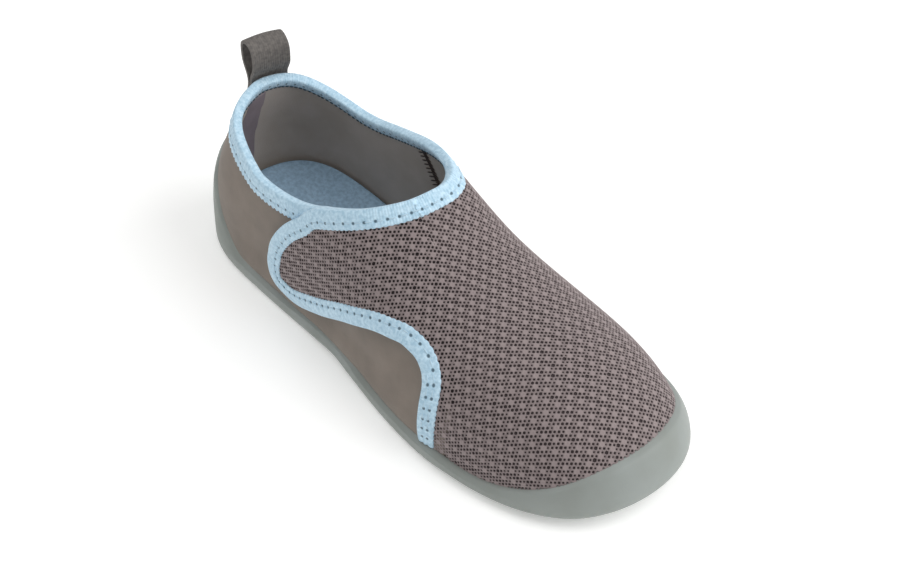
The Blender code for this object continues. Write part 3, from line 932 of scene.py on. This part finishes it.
@dataclass
class Flap:
    """Closing flap: a backing, painted dark as the shade in the knit's holes, that carries the same open
    knit as the vamp.
    """

    root_height: float = 0.9 * MM
    full_height: float = 2.6 * MM
    under_height: float = 0.5 * MM
    under_full: float = 1.3 * MM
    sink: float = 0.22 * MM
    tuck: float = 4 * MM
    tuck_heights: tuple[float, float] = (12 * MM, 40 * MM)
    fade: float = 0.6 * MM
    foot: float = 7 * MM
    foot_level: float = 1.2 * MM
    foot_from_heel: tuple[float, float] = (112 * MM, 122 * MM)
    into_sole: float = 3.0 * MM
    pressed: float = 0.8
    outward: float = 0.6
    piece: Piece = field(init=False)
    skin: Skin = field(init=False)
    free_edge: list[Vector] = field(init=False)
    root: list[Vector] = field(init=False)

    def build(self, upper: Upper) -> None:
        """Copies the solid, lets its root run into the vamp and smooths it.

        Args:
            upper: the shell under it.
        """
        piece = self.piece = copy_of("flap", "flap_backing")
        facing = {}
        with grid_of(piece) as grid:
            for vert in grid.verts:
                place, normal = upper.skin.nearest(vert.co)
                facing[vert.index] = (vert.normal.dot(normal), (vert.co - place).dot(normal), normal.copy())
        for vert in piece.data.vertices:
            out, height, normal = facing[vert.index]
            low, high = ((self.root_height, self.full_height) if out > 0
                         else (self.under_height, self.under_full))
            rise = (height - low) / (high - low)
            vert.co -= normal * self.root_height * (1 - min(1.0, max(0.0, rise)))
        piece.data.update()
        loop = max(sharp_loops(piece, lambda v: facing[v.index][0] > 0.1), key=len)
        low = min(v.co.z for v in piece.data.vertices)
        for vert in piece.data.vertices:
            vert.co = self.sunk(vert.co, low, upper)
        piece.data.update()
        self.split([self.sunk(point, low, upper) for point in loop])
        refine(piece, RIM_ANGLE, crease=1.0)
        outer = [f.index for f in piece.data.polygons
                 if f.normal.dot(upper.skin.nearest(f.center)[1]) > self.outward]
        self.skin = Skin(piece, outer)
        outside = {v for i in outer for v in piece.data.polygons[i].vertices}
        push_in(piece, [self.sink if v.index in outside else 0.0 for v in piece.data.vertices])

    def sunk(self, point: Vector, low: float, upper: Upper) -> Vector:
        """Runs the flap's foot down behind the rubber, pressed flatter as it goes.

        Args:
            point: a point of the flap.
            low: height of its lowest point.
            upper: the shell under it.

        Returns:
            Where the point goes.
        """
        share = 1 - step_up(point.z, low, low + self.foot)
        share *= step_up(point.x - HEEL, *self.foot_from_heel)
        if share == 0:
            return point.copy()
        stand = upper.skin.distance(point)
        place, normal = upper.skin.nearest(point - Vector((0, 0, self.into_sole * share)))
        return place + normal * stand * (1 - self.pressed * share)

    def split(self, loop: list[Vector]) -> None:
        """Cuts the outline into the free edge and the root.

        Args:
            loop: the outline, all the way round.
        """
        level = min(p.z for p in loop) + self.foot_level
        foot = min((i for i, p in enumerate(loop) if p.z < level), key=lambda i: loop[i].x)
        throat = max(range(len(loop)), key=lambda i: loop[i].z)
        ways = []
        for step in (1, -1):
            way, i = [loop[throat]], throat
            while i != foot:
                i = (i + step) % len(loop)
                way.append(loop[i])
            ways.append(way)
        ways.sort(key=lambda way: min(p.x for p in way))
        self.free_edge, root = ways
        end = max((i for i, p in enumerate(root) if p.z < level), key=lambda i: root[i].x)
        self.root = [Vector(p) for p in curve_through(root[:end + 1], 1 * MM)]

    def knit_cover(self, point: Vector, seam: SeamLine) -> float:
        """Tells if the open knit is sewn down over a point.

        Args:
            point: a point of the upper's outside.
            seam: the seam that ends the knit on the medial side.

        Returns:
            1 in front of the medial seam and of the flap's root, 0 behind them.
        """
        if point.y > 0:
            gap = point.x - HEEL - seam.from_heel(point.z)
        else:
            line = np.array([tuple(p) for p in self.root])
            near = int(np.argmin(np.linalg.norm(line - np.array(point), axis=1)))
            ahead = Vector(line[min(near + 1, len(line) - 1)] - line[max(near - 1, 0)]).normalized()
            offset = point - Vector(line[near])
            offset -= ahead * offset.dot(ahead)
            gap = math.copysign(offset.length, offset.x + offset.y)
            gap += self.tuck * step_up(point.z, *self.tuck_heights)
        return step_up(gap, -self.fade, self.fade)

    def dress(self) -> None:
        """Gives the backing its cloth, painted dark as shade."""
        dress(self.piece, Slot.FLAP, "flap", BACKING)


@dataclass
class OpenKnit:
    """Open knit of the vamp and flap: rows of holes, of each eight one drawn tight and one wide.

    The pitch is the photo's own; the yarn's relief is drawn a little deep so that it shows.  `openings`
    gives the size of each hole in the repeat, and `dimple` and `pit` the height and darkness of each ring
    in a tight cell and in an open one.
    """

    pitch: float = 1.36 * MM
    row: float = 1.02 * MM
    turn: float = math.radians(-6)
    open_long: float = 0.48
    open_wide: float = 0.56
    openings: tuple[float, ...] = (0.4, 0.8, 1.0, 0.8, 1.35, 1.05, 1.0, 1.05)
    uneven: float = 0.1
    # Painted shade on the crests: a random spread of it, its share, and what is left of it on the tight
    # cells
    speckle: float = 0.07
    yarn: float = 0.24
    loop: float = 0.15
    crest: float = 0.18 * MM
    # Each ring's height, and the painted shade that darkens it down in the holes
    dimple: tuple[tuple[float, float], ...] = ((0.06 * MM, 0.12),)
    pit: tuple[tuple[float, float], ...] = ((0.06 * MM, 0.5), (-0.12 * MM, 1.0))
    flap_reach: float = 6 * MM
    flap_side: float = 14 * MM
    piece: Piece = field(init=False)

    def build(self, upper: Upper, flap: Flap) -> None:
        """Lays the rows of cells over the flattened cloth and lifts them onto the shoe.

        Args:
            upper: the shell, with its flat coordinates.
            flap: the flap, over which the same sheet runs.
        """
        mesh = upper.piece.data
        uv = cloth_uv(mesh)
        mesh.calc_loop_triangles()
        flats, corners = [], []
        for tri in mesh.loop_triangles:
            a, b, c = (uv[i] for i in tri.loops)
            if a[0] > 0.9 * OFF_CLOTH and abs((b - a)[0] * (c - a)[1] - (b - a)[1] * (c - a)[0]) > 1e-12:
                flats.append((a, b, c))
                corners.append([mesh.vertices[i] for i in tri.vertices])
        points = [Vector((q[0], q[1], 0)) for tri in flats for q in tri]
        tree = BVHTree.FromPolygons(points, [(3 * i, 3 * i + 1, 3 * i + 2) for i in range(len(flats))])
        places: dict[tuple[int, int], Spot | None] = {}

        def place(u: float, v: float) -> Spot | None:
            """Finds where a spot of the flat cloth lies on the shoe.

            Args:
                u: distance forward.
                v: distance to the medial side.

            Returns:
                The point and its normal, or None off the cloth.
            """
            key = (round(u * 1e7), round(v * 1e7))
            if key not in places:
                places[key] = self.locate(tree, flats, corners, u, v, upper, flap)
            return places[key]

        self.weave(place, np.concatenate([np.array(tri) for tri in flats]))

    def locate(self, tree: BVHTree, flats: list, corners: list, u: float, v: float, upper: Upper,
               flap: Flap) -> Spot | None:
        """Carries one spot of the flat cloth to the shoe.

        Args:
            tree: the flat triangles.
            flats: their corners.
            corners: the shoe's own corners for them.
            u: distance forward.
            v: distance to the medial side.
            upper: the shell.
            flap: the flap.

        Returns:
            The point on the vamp or flap and its normal, or None where there is no knit.
        """
        _, _, index, _ = tree.ray_cast(Vector((u, v, 1)), Vector((0, 0, -1)))
        if index is None:
            return None
        a, b, c = flats[index]
        share = np.linalg.solve(np.array([b - a, c - a]).T, np.array([u, v]) - a)
        weights = (1 - share[0] - share[1], share[0], share[1])
        point = sum((k.co * float(w) for k, w in zip(corners[index], weights)), Vector())
        normal = sum((k.normal * float(w) for k, w in zip(corners[index], weights)), Vector()).normalized()
        height = flap.skin.height(point, normal, self.flap_reach) if point.y < self.flap_side else None
        if height is None:
            if flap.knit_cover(point, upper.seam) < 0.5:
                return None
            height = 0.0
        return point + normal * max(0.0, height), normal

    def weave(self, place: Callable[[float, float], Spot | None], spread: np.ndarray) -> None:
        """Makes every cell: a ring of yarn with a crest, a lip and a hole down to the ground.

        Args:
            place: finds a spot of the flat cloth on the shoe.
            spread: all corners of the flat cloth.
        """
        c, s = math.cos(self.turn), math.sin(self.turn)
        spin = np.array([[c, -s], [s, c]])
        side, half, across = self.pitch ** 2 / (8 * self.row), self.row / 2, self.pitch / 2
        hexagon = np.array([(0, half + side), (-across, half - side), (-across, side - half),
                            (0, -half - side), (across, side - half), (across, half - side)])
        loose = np.random.default_rng(5)
        low, high = spread.min(0), spread.max(0)
        reach = np.linalg.norm(high - low)
        # depth: each corner's painted shade, little on a crest and full at the bottom of a hole
        verts, faces, depth, shared = [], [], [], {}
        rows, columns = int(reach / self.row) + 2, int(reach / self.pitch) + 2
        for j in range(-rows, rows):
            for i in range(-columns, columns):
                centre = np.array([(i + 0.5 * (j % 2)) * self.pitch, j * self.row])
                middle = spin @ centre
                if np.any(middle < low) or np.any(middle > high) or place(*middle) is None:
                    continue
                kind = (2 * i + j % 2 + 4 * (j // 2)) % 8
                slack = self.openings[kind] * (1 + self.uneven * loose.standard_normal())
                hole = np.array([self.open_long * slack, self.open_wide * slack])
                rings = [[place(*(spin @ (centre + corner * k))) for corner in hexagon]
                         for k in (1.0, hole)]
                if any(spot is None for ring in rings for spot in ring):
                    continue
                ids = []
                for corner, (point, normal) in zip(hexagon, rings[0]):
                    key = tuple(np.round((centre + corner) * 1e6).astype(int))
                    if key not in shared:
                        shared[key] = len(verts)
                        verts.append(point + normal * self.crest)
                        depth.append(max(0.0, self.yarn + self.speckle * loose.standard_normal()))
                    ids.append(shared[key])
                    depth[shared[key]] *= self.loop if kind == 0 else 1.0
                for lift, dark in self.dimple if kind == 0 else self.pit:
                    ids += range(len(verts), len(verts) + 6)
                    verts += [point + normal * lift for point, normal in rings[1]]
                    depth += [dark] * 6
                for first in range(0, len(ids) - 6, 6):
                    for k in range(6):
                        a, b = ids[first + k], ids[first + (k + 1) % 6]
                        c, d = ids[first + 6 + (k + 1) % 6], ids[first + 6 + k]
                        faces.append((a, b, c, d))
                if kind == 0:
                    faces.append(tuple(ids[6:]))
        self.piece = mesh_object("open_knit", np.array([tuple(v) for v in verts]), faces)
        set_values(self.piece, "depth", np.array(depth))

    def dress(self) -> None:
        """Gives the knit its yarn."""
        dress(self.piece, Slot.UPPER, None, YARN)


@dataclass(frozen=True)
class Seat:
    """Place of one stitch: its middle, the way it runs and the way it faces."""

    middle: Vector
    along: Vector
    normal: Vector


@dataclass
class Stitches:
    """Rows of stitches, one modelled and copied to every seat in one joined mesh."""

    name: str
    finish: Finish
    slot: Slot
    length: float = 2.3 * MM
    radius: float = 0.24 * MM
    piece: Piece = field(init=False)

    def build(self, seats: list[Seat]) -> "Stitches":
        """Models one stitch and copies it to the seats.

        Args:
            seats: where the stitches go.

        Returns:
            The stitches, built.
        """
        bpy.ops.object.select_all(action="DESELECT")
        bpy.ops.mesh.primitive_uv_sphere_add(segments=8, ring_count=6, radius=1.0)
        one = bpy.context.object
        with editing("SELECT"):
            bpy.ops.transform.rotate(value=math.pi / 2, orient_axis="Y", center_override=(0, 0, 0))
            bpy.ops.transform.resize(value=(self.length / 2, self.radius, self.radius))
        shape = np.array([tuple(v.co) for v in one.data.vertices])
        sides = [tuple(p.vertices) for p in one.data.polygons]
        bpy.data.objects.remove(one)
        points, faces = [], []
        for seat in seats:
            normal = np.array(seat.normal.normalized())
            along = np.array(seat.along) - normal * np.dot(normal, seat.along)
            along /= np.linalg.norm(along)
            across = np.cross(normal, along)
            first = len(points) * len(shape)
            points.append(shape @ np.array([along, across, normal]) + np.array(seat.middle))
            faces += [tuple(first + i for i in side) for side in sides]
        self.piece = mesh_object(self.name, np.concatenate(points), faces)
        return self

    def dress(self) -> None:
        """Gives the stitches their thread."""
        dress(self.piece, self.slot, None, self.finish)


def ribbon(name: str, line: list[Spot], width: float, thick: float) -> Piece:
    """Lays a flat strip with rounded edges along a line on a surface.

    Args:
        name: name of the piece.
        line: points of the line with their normals.
        width: width of the strip.
        thick: how far it stands off the surface.

    Returns:
        The strip.
    """
    step = 0.8 * MM
    points = curve_through([point for point, _ in line], step)
    share = np.linspace(0, len(line) - 1, len(points))
    raw = np.array([tuple(normal) for _, normal in line])
    normals = unit(np.stack([np.interp(share, range(len(line)), raw[:, i]) for i in range(3)], axis=1))
    across = unit(np.cross(normals, np.gradient(points, axis=0)))
    rings = np.stack([points + across * width * a + normals * thick * h for a, h in STRIP_OUTLINE], axis=1)
    run = np.arange(len(points)) * step
    flat = np.stack([np.stack([run, np.full(len(run), a * width)], axis=1) for a, _ in STRIP_OUTLINE],
                    axis=1)
    return loft(name, rings, flat)


@dataclass
class EdgeBinding:
    """Elastic tape folded over the collar and the flap's free edge, pinched by its seam.

    `outer_leg` gives shares of the width at which the outside is drawn, and `inner_leg` shares of the inner
    leg with the height of the tape there.
    """

    width: float = 5.5 * MM
    inside: float = 2.8 * MM
    turned_under: float = 1.2 * MM
    flap_depth: float = 1.5 * MM
    begins: float = 66.5 * MM
    flap_leaves: float = 65.5 * MM
    join: float = 23 * MM
    step: float = 0.45 * MM
    seam_row: float = 3.4 * MM
    second_row: float = 1.5 * MM
    pitch: float = 3.5 * MM
    scallop: float = 1.75 * MM
    collar_wave: float = 1.0 * MM
    flap_wave: float = 0.35 * MM
    fold: float = 0.7 * MM
    thick: float = 0.6 * MM
    bead: float = 0.16 * MM
    thinner: float = 0.22 * MM
    pinch: float = 0.3 * MM
    pinch_across: float = 0.55 * MM
    pinch_along: float = 0.7 * MM
    outer_leg: tuple[float, ...] = (1.0, 0.985, 0.9, 0.78, 0.68, 0.6, 0.52, 0.42, 0.28, 0.14, 0.03)
    inner_leg: tuple[tuple[float, float], ...] = ((0.1, 0.6 * MM), (0.4, 0.66 * MM), (0.65, 0.5 * MM),
                                                  (0.95, 0.55 * MM), (1.0, 0.05 * MM))
    lies_on: float = 0.02 * MM
    beside_middle: float = 5 * MM
    clear_of_flap: float = 3 * MM
    onto_flap: float = 4 * MM
    fade: float = 3 * MM
    wave_changes: float = 150 * MM
    hem_ends: tuple[float, float] = (4 * MM, 2 * MM)
    piece: Piece = field(init=False)
    threads: list[Stitches] = field(default_factory=list)
    length: float = field(init=False)

    def route(self, upper: Upper, flap: Flap) -> tuple[np.ndarray, float]:
        """Follows the collar round from the flap and then the flap's free edge to the sole.

        Args:
            upper: the shell with its collar.
            flap: the flap with its free edge.

        Returns:
            Fine points of the edge, and how far along the flap begins.
        """
        loop = upper.collar
        count = len(loop)
        start = min((i for i in range(count) if loop[i].y < -self.beside_middle),
                    key=lambda i: abs(loop[i].x - HEEL - self.begins))
        turn = 1 if loop[(start + 1) % count].x < loop[start].x else -1
        throat = max(range(count), key=lambda i: loop[i].x)
        points, i = [loop[start]], start
        while i != throat:
            i = (i + turn) % count
            points.append(loop[i])
        while (points[-1] - flap.free_edge[0]).length < self.clear_of_flap:
            points.pop()
        collar = curve_through(points + flap.free_edge[:1], self.step)
        return curve_through(points + flap.free_edge, self.step), len(collar) * self.step

    def build(self, upper: Upper, flap: Flap) -> None:
        """Lofts the tape along the edge.

        Args:
            upper: the shell.
            flap: the flap.
        """
        path, on_flap = self.route(upper, flap)
        run = run_of(path)
        self.length = run[-1]
        path = evened(path, 3)

        def under(point: Vector, far: float) -> Spot:
            """Finds the cloth that the tape lies on.

            Args:
                point: where to look from.
                far: distance along the tape.

            Returns:
                The point on the cloth and its normal.
            """
            found = [upper.skin.nearest(point)]
            if far > on_flap - self.onto_flap:
                found.append(flap.skin.nearest(point))
            return min(found, key=lambda hit: (hit[0] - point).length)

        raw = np.array([tuple(under(Vector(p), s)[1]) for p, s in zip(path, run)])
        normals = unit(evened(raw, 9))
        inward = unit(evened(np.cross(normals, unit(np.gradient(path, axis=0))), 4))
        left = next(i for i in range(len(path)) if run[i] > on_flap and path[i][0] < HEEL + self.flap_leaves)
        stands = evened(np.array([upper.skin.distance(p) for p in path]), 9)
        rings, flat = [], []
        for edge, normal, into, far, stand in zip(path, normals, inward, run, stands):
            free = step_up(far - run[left], -self.fade, self.fade) if far > on_flap else 0.0
            depth = (upper.wall + stand) * (1 - free) + self.flap_depth * free
            leg = self.inside * (1 - free) + self.turned_under * free
            ring, across = self.section(edge, normal, into, far, depth, leg, under)
            rings.append(ring)
            flat.append([(far, a) for a in across])
        self.piece = loft("edge_tape", np.array(rings), np.array(flat))
        self.sew(path, inward, run, under)
        self.hem_inside(rings, normals, run[run < on_flap])

    def outside(self, far: float, off: float) -> float:
        """Gives the height of the tape's outside over the cloth.

        Args:
            far: distance along the tape.
            off: distance in from the folded edge.

        Returns:
            The height.
        """
        height = self.thick + self.bead * math.sin(math.pi * min(1.0, off / self.seam_row)) ** 0.7
        height -= self.thinner * step_up(off, self.seam_row + 1.2 * MM, self.width)
        rows = self.seam_rows(far)
        height += self.thinner * (len(rows) - 1)
        beside = abs((far + self.pitch / 2) % self.pitch - self.pitch / 2)
        for row in rows:
            height -= self.pinch * math.exp(-((off - row) / self.pinch_across) ** 2
                                            - (beside / self.pinch_along) ** 2)
        return height

    def seam_rows(self, far: float) -> list[float]:
        """Lists the rows of stitches at a distance along: one, and two where the ends are joined."""
        return [self.seam_row] + ([self.second_row] if far > self.length - self.join else [])

    def section(self, edge: np.ndarray, normal: np.ndarray, into: np.ndarray, far: float, depth: float,
                leg: float, under: Finder) -> tuple[list, list]:
        """Draws the tape across: outer leg, fold and inner leg.

        Args:
            edge: point of the bound edge.
            normal: outward there.
            into: along the cloth, away from the edge.
            far: distance along the tape.
            depth: thickness of what is bound.
            leg: width of the inner leg.
            under: finds the cloth under the tape.

        Returns:
            Points of the closed section, and each one's distance across the tape.
        """
        wave = abs(math.sin(math.pi * far / self.scallop)) - 0.5
        width = self.width + (self.collar_wave if far < self.wave_changes else self.flap_wave) * wave
        ring, across = [], []
        for share in self.outer_leg:
            off = width * share
            place, up = under(Vector(edge + into * off), far)
            lift = self.lies_on if share == 1.0 else self.outside(far, off)
            ring.append(np.array(place) + np.array(up) * lift)
            across.append(off)
        top, low = self.outside(far, 0.0), -depth - self.thick
        radius = (top - low) / 2
        for k in range(1, 6):
            out, up = math.sin(math.pi * k / 6) ** 0.6, math.cos(math.pi * k / 6)
            up = math.copysign(abs(up) ** 0.7, up)
            ring.append(edge - into * min(radius, self.fold) * out
                        + normal * ((top + low) / 2 + radius * up))
            across.append(-0.2 * MM * k)
        for share, lift in self.inner_leg:
            ring.append(edge + into * leg * share - normal * (depth + lift))
            across.append(-1.0 * MM - leg * share)
        return ring, across

    def sew(self, path: np.ndarray, inward: np.ndarray, run: np.ndarray, under: Finder) -> None:
        """Seats the stitches between the needle holes.

        Args:
            path: fine points of the edge.
            inward: along the cloth at each.
            run: distance along at each.
            under: finds the cloth under the tape.
        """
        seats = []
        for k in range(1, int(self.length / self.pitch) - 1):
            far = (k + 0.5) * self.pitch
            i = int(np.searchsorted(run, far))
            for row in self.seam_rows(far):
                place, up = under(Vector(path[i] + inward[i] * row), far)
                ahead = Vector(path[min(i + 2, len(path) - 1)] - path[i - 2])
                seats.append(Seat(place + up * (self.outside(far, row) + self.lies_on), ahead, up))
        self.threads.append(Stitches("tape_stitches", BLUE_THREAD, Slot.BINDING).build(seats))

    def hem_inside(self, rings: list, normals: np.ndarray, run: np.ndarray) -> None:
        """Seats the dark stitches that hold the tape's inner leg down.

        Args:
            rings: the tape's sections.
            normals: outward at each.
            run: distance along at each, round the collar only.
        """
        line = np.array([ring[-2] for ring in rings[:len(run)]])
        seats = []
        for far in np.arange(self.hem_ends[0], run[-1] - self.hem_ends[1], self.scallop):
            i = int(np.searchsorted(run, far))
            seats.append(Seat(Vector(line[i]), Vector(line[i + 2] - line[i - 2]), -Vector(normals[i])))
        hem = Stitches("hem_stitches", DARK_THREAD, Slot.BINDING, 1.3 * MM, 0.3 * MM)
        self.threads.append(hem.build(seats))

    def dress(self) -> None:
        """Gives the tape its cloth and the stitches their thread."""
        rows = TAPE.rows + ((self.second_row, self.length - self.join),)
        dress(self.piece, Slot.BINDING, "edge_binding", replace(TAPE, rows=rows))
        for thread in self.threads:
            thread.dress()


@dataclass
class Seams:
    """Seams of the upper: the turned edge on the medial side, the heel strip and overlock inside."""

    welt: float = 3.4 * MM
    welt_height: float = 0.5 * MM
    welt_heights: tuple[float, float] = (47 * MM, 6 * MM)
    stitch_pitch: float = 2.1 * MM
    strip: float = 10.0 * MM
    strip_slant: float = 5.0 * MM
    strip_height: float = 0.5 * MM
    strip_middle: float = -0.8 * MM
    strip_heights: tuple[float, float] = (50 * MM, 13 * MM)
    rows: tuple[float, ...] = (-1.15 * MM, 1.15 * MM)
    overlock: float = 66.5 * MM
    overlock_heights: tuple[float, float] = (53 * MM, 22 * MM)
    overlock_lean: float = 0.3
    inside: float = 45 * MM
    zigzag: float = 1.2 * MM
    pieces: list[Piece] = field(default_factory=list)
    threads: list[Stitches] = field(default_factory=list)

    def build(self, upper: Upper) -> None:
        """Lays the strips and stitches on the shell.

        Args:
            upper: the shell.
        """
        starts = [Vector((HEEL + upper.seam.from_heel(z), FAR_OUT, z))
                  for z in np.linspace(*self.welt_heights, 30)]
        line = upper.skin.hits(starts, Vector((0, -1, 0)))
        self.pieces.append(ribbon("medial_welt", line, self.welt, self.welt_height))
        seats = []
        points = curve_through([point for point, _ in line], self.stitch_pitch)
        for a, b in zip(points, points[1:]):
            middle = Vector((a + b) / 2)
            place, normal = upper.skin.nearest(middle)
            ahead = Vector(b - a)
            beside = normal.cross(ahead).normalized()
            for row in self.rows:
                seats.append(Seat(place + beside * row + normal * self.welt_height * 0.95, ahead, normal))
        stitches = Stitches("medial_stitches", BROWN_THREAD, Slot.UPPER, 1.5 * MM)
        self.threads.append(stitches.build(seats))
        self.line_heel(upper)

    def line_heel(self, upper: Upper) -> None:
        """Lays the strip over the heel seam inside, and the overlock of the medial seam.

        Args:
            upper: the shell.
        """
        high, low = self.strip_heights
        slant = self.strip_slant / (high - low)
        starts = [Vector((HEEL + self.inside, self.strip_middle - slant * (high - z), z))
                  for z in np.linspace(high, low, 24)]
        line = upper.lining.hits(starts, Vector((-1, 0, 0)))
        self.pieces.append(ribbon("heel_strip", line, self.strip, self.strip_height))
        seats = []
        for k, z in enumerate(np.linspace(*self.overlock_heights, 40)):
            turn = 1 if k % 2 else -1
            from_heel = self.overlock + turn * self.zigzag + (52 * MM - z) * self.overlock_lean
            for place, normal in upper.lining.hits([Vector((HEEL + from_heel, 0, z))], Vector((0, 1, 0))):
                seats.append(Seat(place + normal * 0.1 * MM, Vector((0.9 * turn, 0, -0.6)), normal))
        stitches = Stitches("inside_overlock", BROWN_THREAD, Slot.UPPER, 4.2 * MM, 0.26 * MM)
        self.threads.append(stitches.build(seats))

    def dress(self) -> None:
        """Gives the strips their cloth and the stitches their thread."""
        for piece, finish in zip(self.pieces, (SEAM_CLOTH, HEEL_CLOTH)):
            dress(piece, Slot.UPPER, None, finish)
        for thread in self.threads:
            thread.dress()


@dataclass
class Outsole:
    """Rubber sole with its rand, toe bumper and heel shield."""

    hug: float = 1.2 * MM
    full: float = 2.4 * MM
    bite: float = 0.15 * MM
    edge_angle: float = math.radians(32)
    rim: float = 6 * MM
    piece: Piece = field(init=False)

    def build(self, upper: Upper) -> None:
        """Copies the solid, presses its rand to the cloth and smooths it between its edges.

        Args:
            upper: the shell that the rand is glued to.
        """
        self.piece = copy_of("outsole", "rubber_sole")
        for vert in self.piece.data.vertices:
            place, normal = upper.skin.nearest(vert.co)
            height = (vert.co - place).dot(normal)
            if 0 < height < self.full:
                press = min(height, self.hug) + self.bite
                vert.co -= normal * press * (1 - step_up(height, self.hug, self.full))
        self.piece.data.update()
        refine(self.piece, self.edge_angle, crease=0.85, rim=self.rim)

    def dress(self) -> None:
        """Gives the sole its rubber."""
        dress(self.piece, Slot.OUTSOLE, "outsole", RUBBER)


@dataclass
class Insole:
    """Foam insole under a light blue cover."""

    edge_angle: float = math.radians(45)
    fill: float = 0.95
    piece: Piece = field(init=False)

    def build(self) -> None:
        """Copies the solid and rounds it."""
        self.piece = copy_of("insole", "covered_insole")
        refine(self.piece, self.edge_angle, crease=0.7)

    def dress(self) -> None:
        """Gives the insole its cover."""
        dress(self.piece, Slot.INSOLE, "insole", FOAM_COVER)


@dataclass
class PullLoop:
    """Webbing loop sewn to the heel."""

    heading: float = LOOP_HEADING
    rows: tuple[float, ...] = (48.2 * MM, 50.4 * MM)
    row_half: float = 4.5 * MM
    piece: Piece = field(init=False)
    stitches: Stitches = field(init=False)

    def build(self) -> None:
        """Copies the solid, rounds its edges and sews it down."""
        self.piece = copy_of("pull_loop", "webbing_loop")
        refine(self.piece, RIM_ANGLE, crease=0.6)
        out = Vector((math.cos(self.heading), math.sin(self.heading), 0))
        beside = Vector((-out.y, out.x, 0))
        low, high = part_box("pull_loop")
        middle = (low + high) / 2
        starts = [Vector((middle.x, middle.y, z)) + out * FAR_OUT + beside * off
                  for z in self.rows for off in np.linspace(-self.row_half, self.row_half, 7)]
        seats = [Seat(place + normal * 0.05 * MM, beside, normal)
                 for place, normal in Skin(self.piece).hits(starts, -out)]
        self.stitches = Stitches("loop_stitches", BLUE_THREAD, Slot.LOOP, 1.2 * MM, 0.22 * MM).build(seats)

    def dress(self) -> None:
        """Gives the loop its webbing."""
        dress(self.piece, Slot.LOOP, "pull_loop", WEBBING)
        self.stitches.dress()


@dataclass(frozen=True)
class Lamp:
    """A soft box that faces the shoe: its name, place, width and strength."""

    name: str
    place: tuple[float, float, float]
    width: float
    watts: float


@dataclass
class Studio:
    """Pale floor, soft lights and the camera, from the photo's own place."""

    camera: tuple[float, float, float] = (341 * MM, -303.5 * MM, 474 * MM)
    target: tuple[float, float, float] = (4 * MM, 2 * MM, 24 * MM)
    roll: float = math.radians(-0.63)
    lens: float = 82.0
    sensor: float = 36.0
    floor: float = 6.0
    sky: str = "#ffffff"
    ambient: float = 0.48
    lamps: tuple[Lamp, ...] = (
        Lamp("key", (0.70, 0.62, 0.80), 1.3, 10.6),
        Lamp("top", (-0.45, -0.20, 1.15), 1.2, 3.6),
    )

    def build(self) -> None:
        """Sets the floor, the lights, the sky and the camera."""
        scene = bpy.context.scene
        bpy.ops.object.select_all(action="DESELECT")
        bpy.ops.mesh.primitive_plane_add(size=self.floor)
        floor = bpy.context.object
        floor.name = "studio_floor"
        floor.data.materials.append(FLOOR.make())
        floor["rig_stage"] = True
        for lamp in self.lamps:
            light = bpy.data.lights.new(lamp.name, "AREA")
            light.shape, light.size, light.energy = "DISK", lamp.width, lamp.watts
            holder = bpy.data.objects.new(lamp.name, light)
            scene.collection.objects.link(holder)
            holder.location = lamp.place
            holder.rotation_euler = (-Vector(lamp.place)).to_track_quat("-Z", "Y").to_euler()
        world = bpy.data.worlds.new("soft studio")
        world.use_nodes = True
        backdrop = world.node_tree.nodes["Background"].inputs
        backdrop["Color"].default_value = linear(self.sky)
        backdrop["Strength"].default_value = self.ambient
        scene.world = world
        scene.view_settings.view_transform = "Standard"
        self.aim(scene)

    def aim(self, scene: bpy.types.Scene) -> None:
        """Points the camera at the shoe.

        Args:
            scene: the scene.
        """
        data = bpy.data.cameras.new("photo camera")
        data.lens, data.sensor_width = self.lens, self.sensor
        camera = bpy.data.objects.new("photo camera", data)
        scene.collection.objects.link(camera)
        back = (Vector(self.camera) - Vector(self.target)).normalized()
        right = Vector((0, 0, 1)).cross(back).normalized()
        up = back.cross(right)
        tilted = right * math.cos(self.roll) + up * math.sin(self.roll)
        camera.matrix_world = Matrix.LocRotScale(
            Vector(self.camera), Matrix((tilted, back.cross(tilted), back)).transposed(), None)
        scene.camera = camera


def main() -> None:
    """Builds the pieces in order and reports each one."""
    logging.basicConfig(level=logging.INFO, format="%(name)s %(message)s")
    upper, flap, knit = Upper(), Flap(), OpenKnit()
    upper.build()
    flap.build(upper)
    knit.build(upper, flap)
    binding, seams = EdgeBinding(), Seams()
    binding.build(upper, flap)
    seams.build(upper)
    outsole, insole, loop = Outsole(), Insole(), PullLoop()
    outsole.build(upper)
    insole.build()
    loop.build()
    upper.dress(flap)
    for part in (flap, knit, binding, seams, outsole, insole, loop):
        part.dress()
    Studio().build()
    low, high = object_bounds()
    {"cad": [list(CAD_BOX[0]), list(CAD_BOX[1])], "visual": [list(low), list(high)]}
    LOG.info("visual bounds %s %s", tuple(low), tuple(high))


if __name__ == "__main__":
    main()
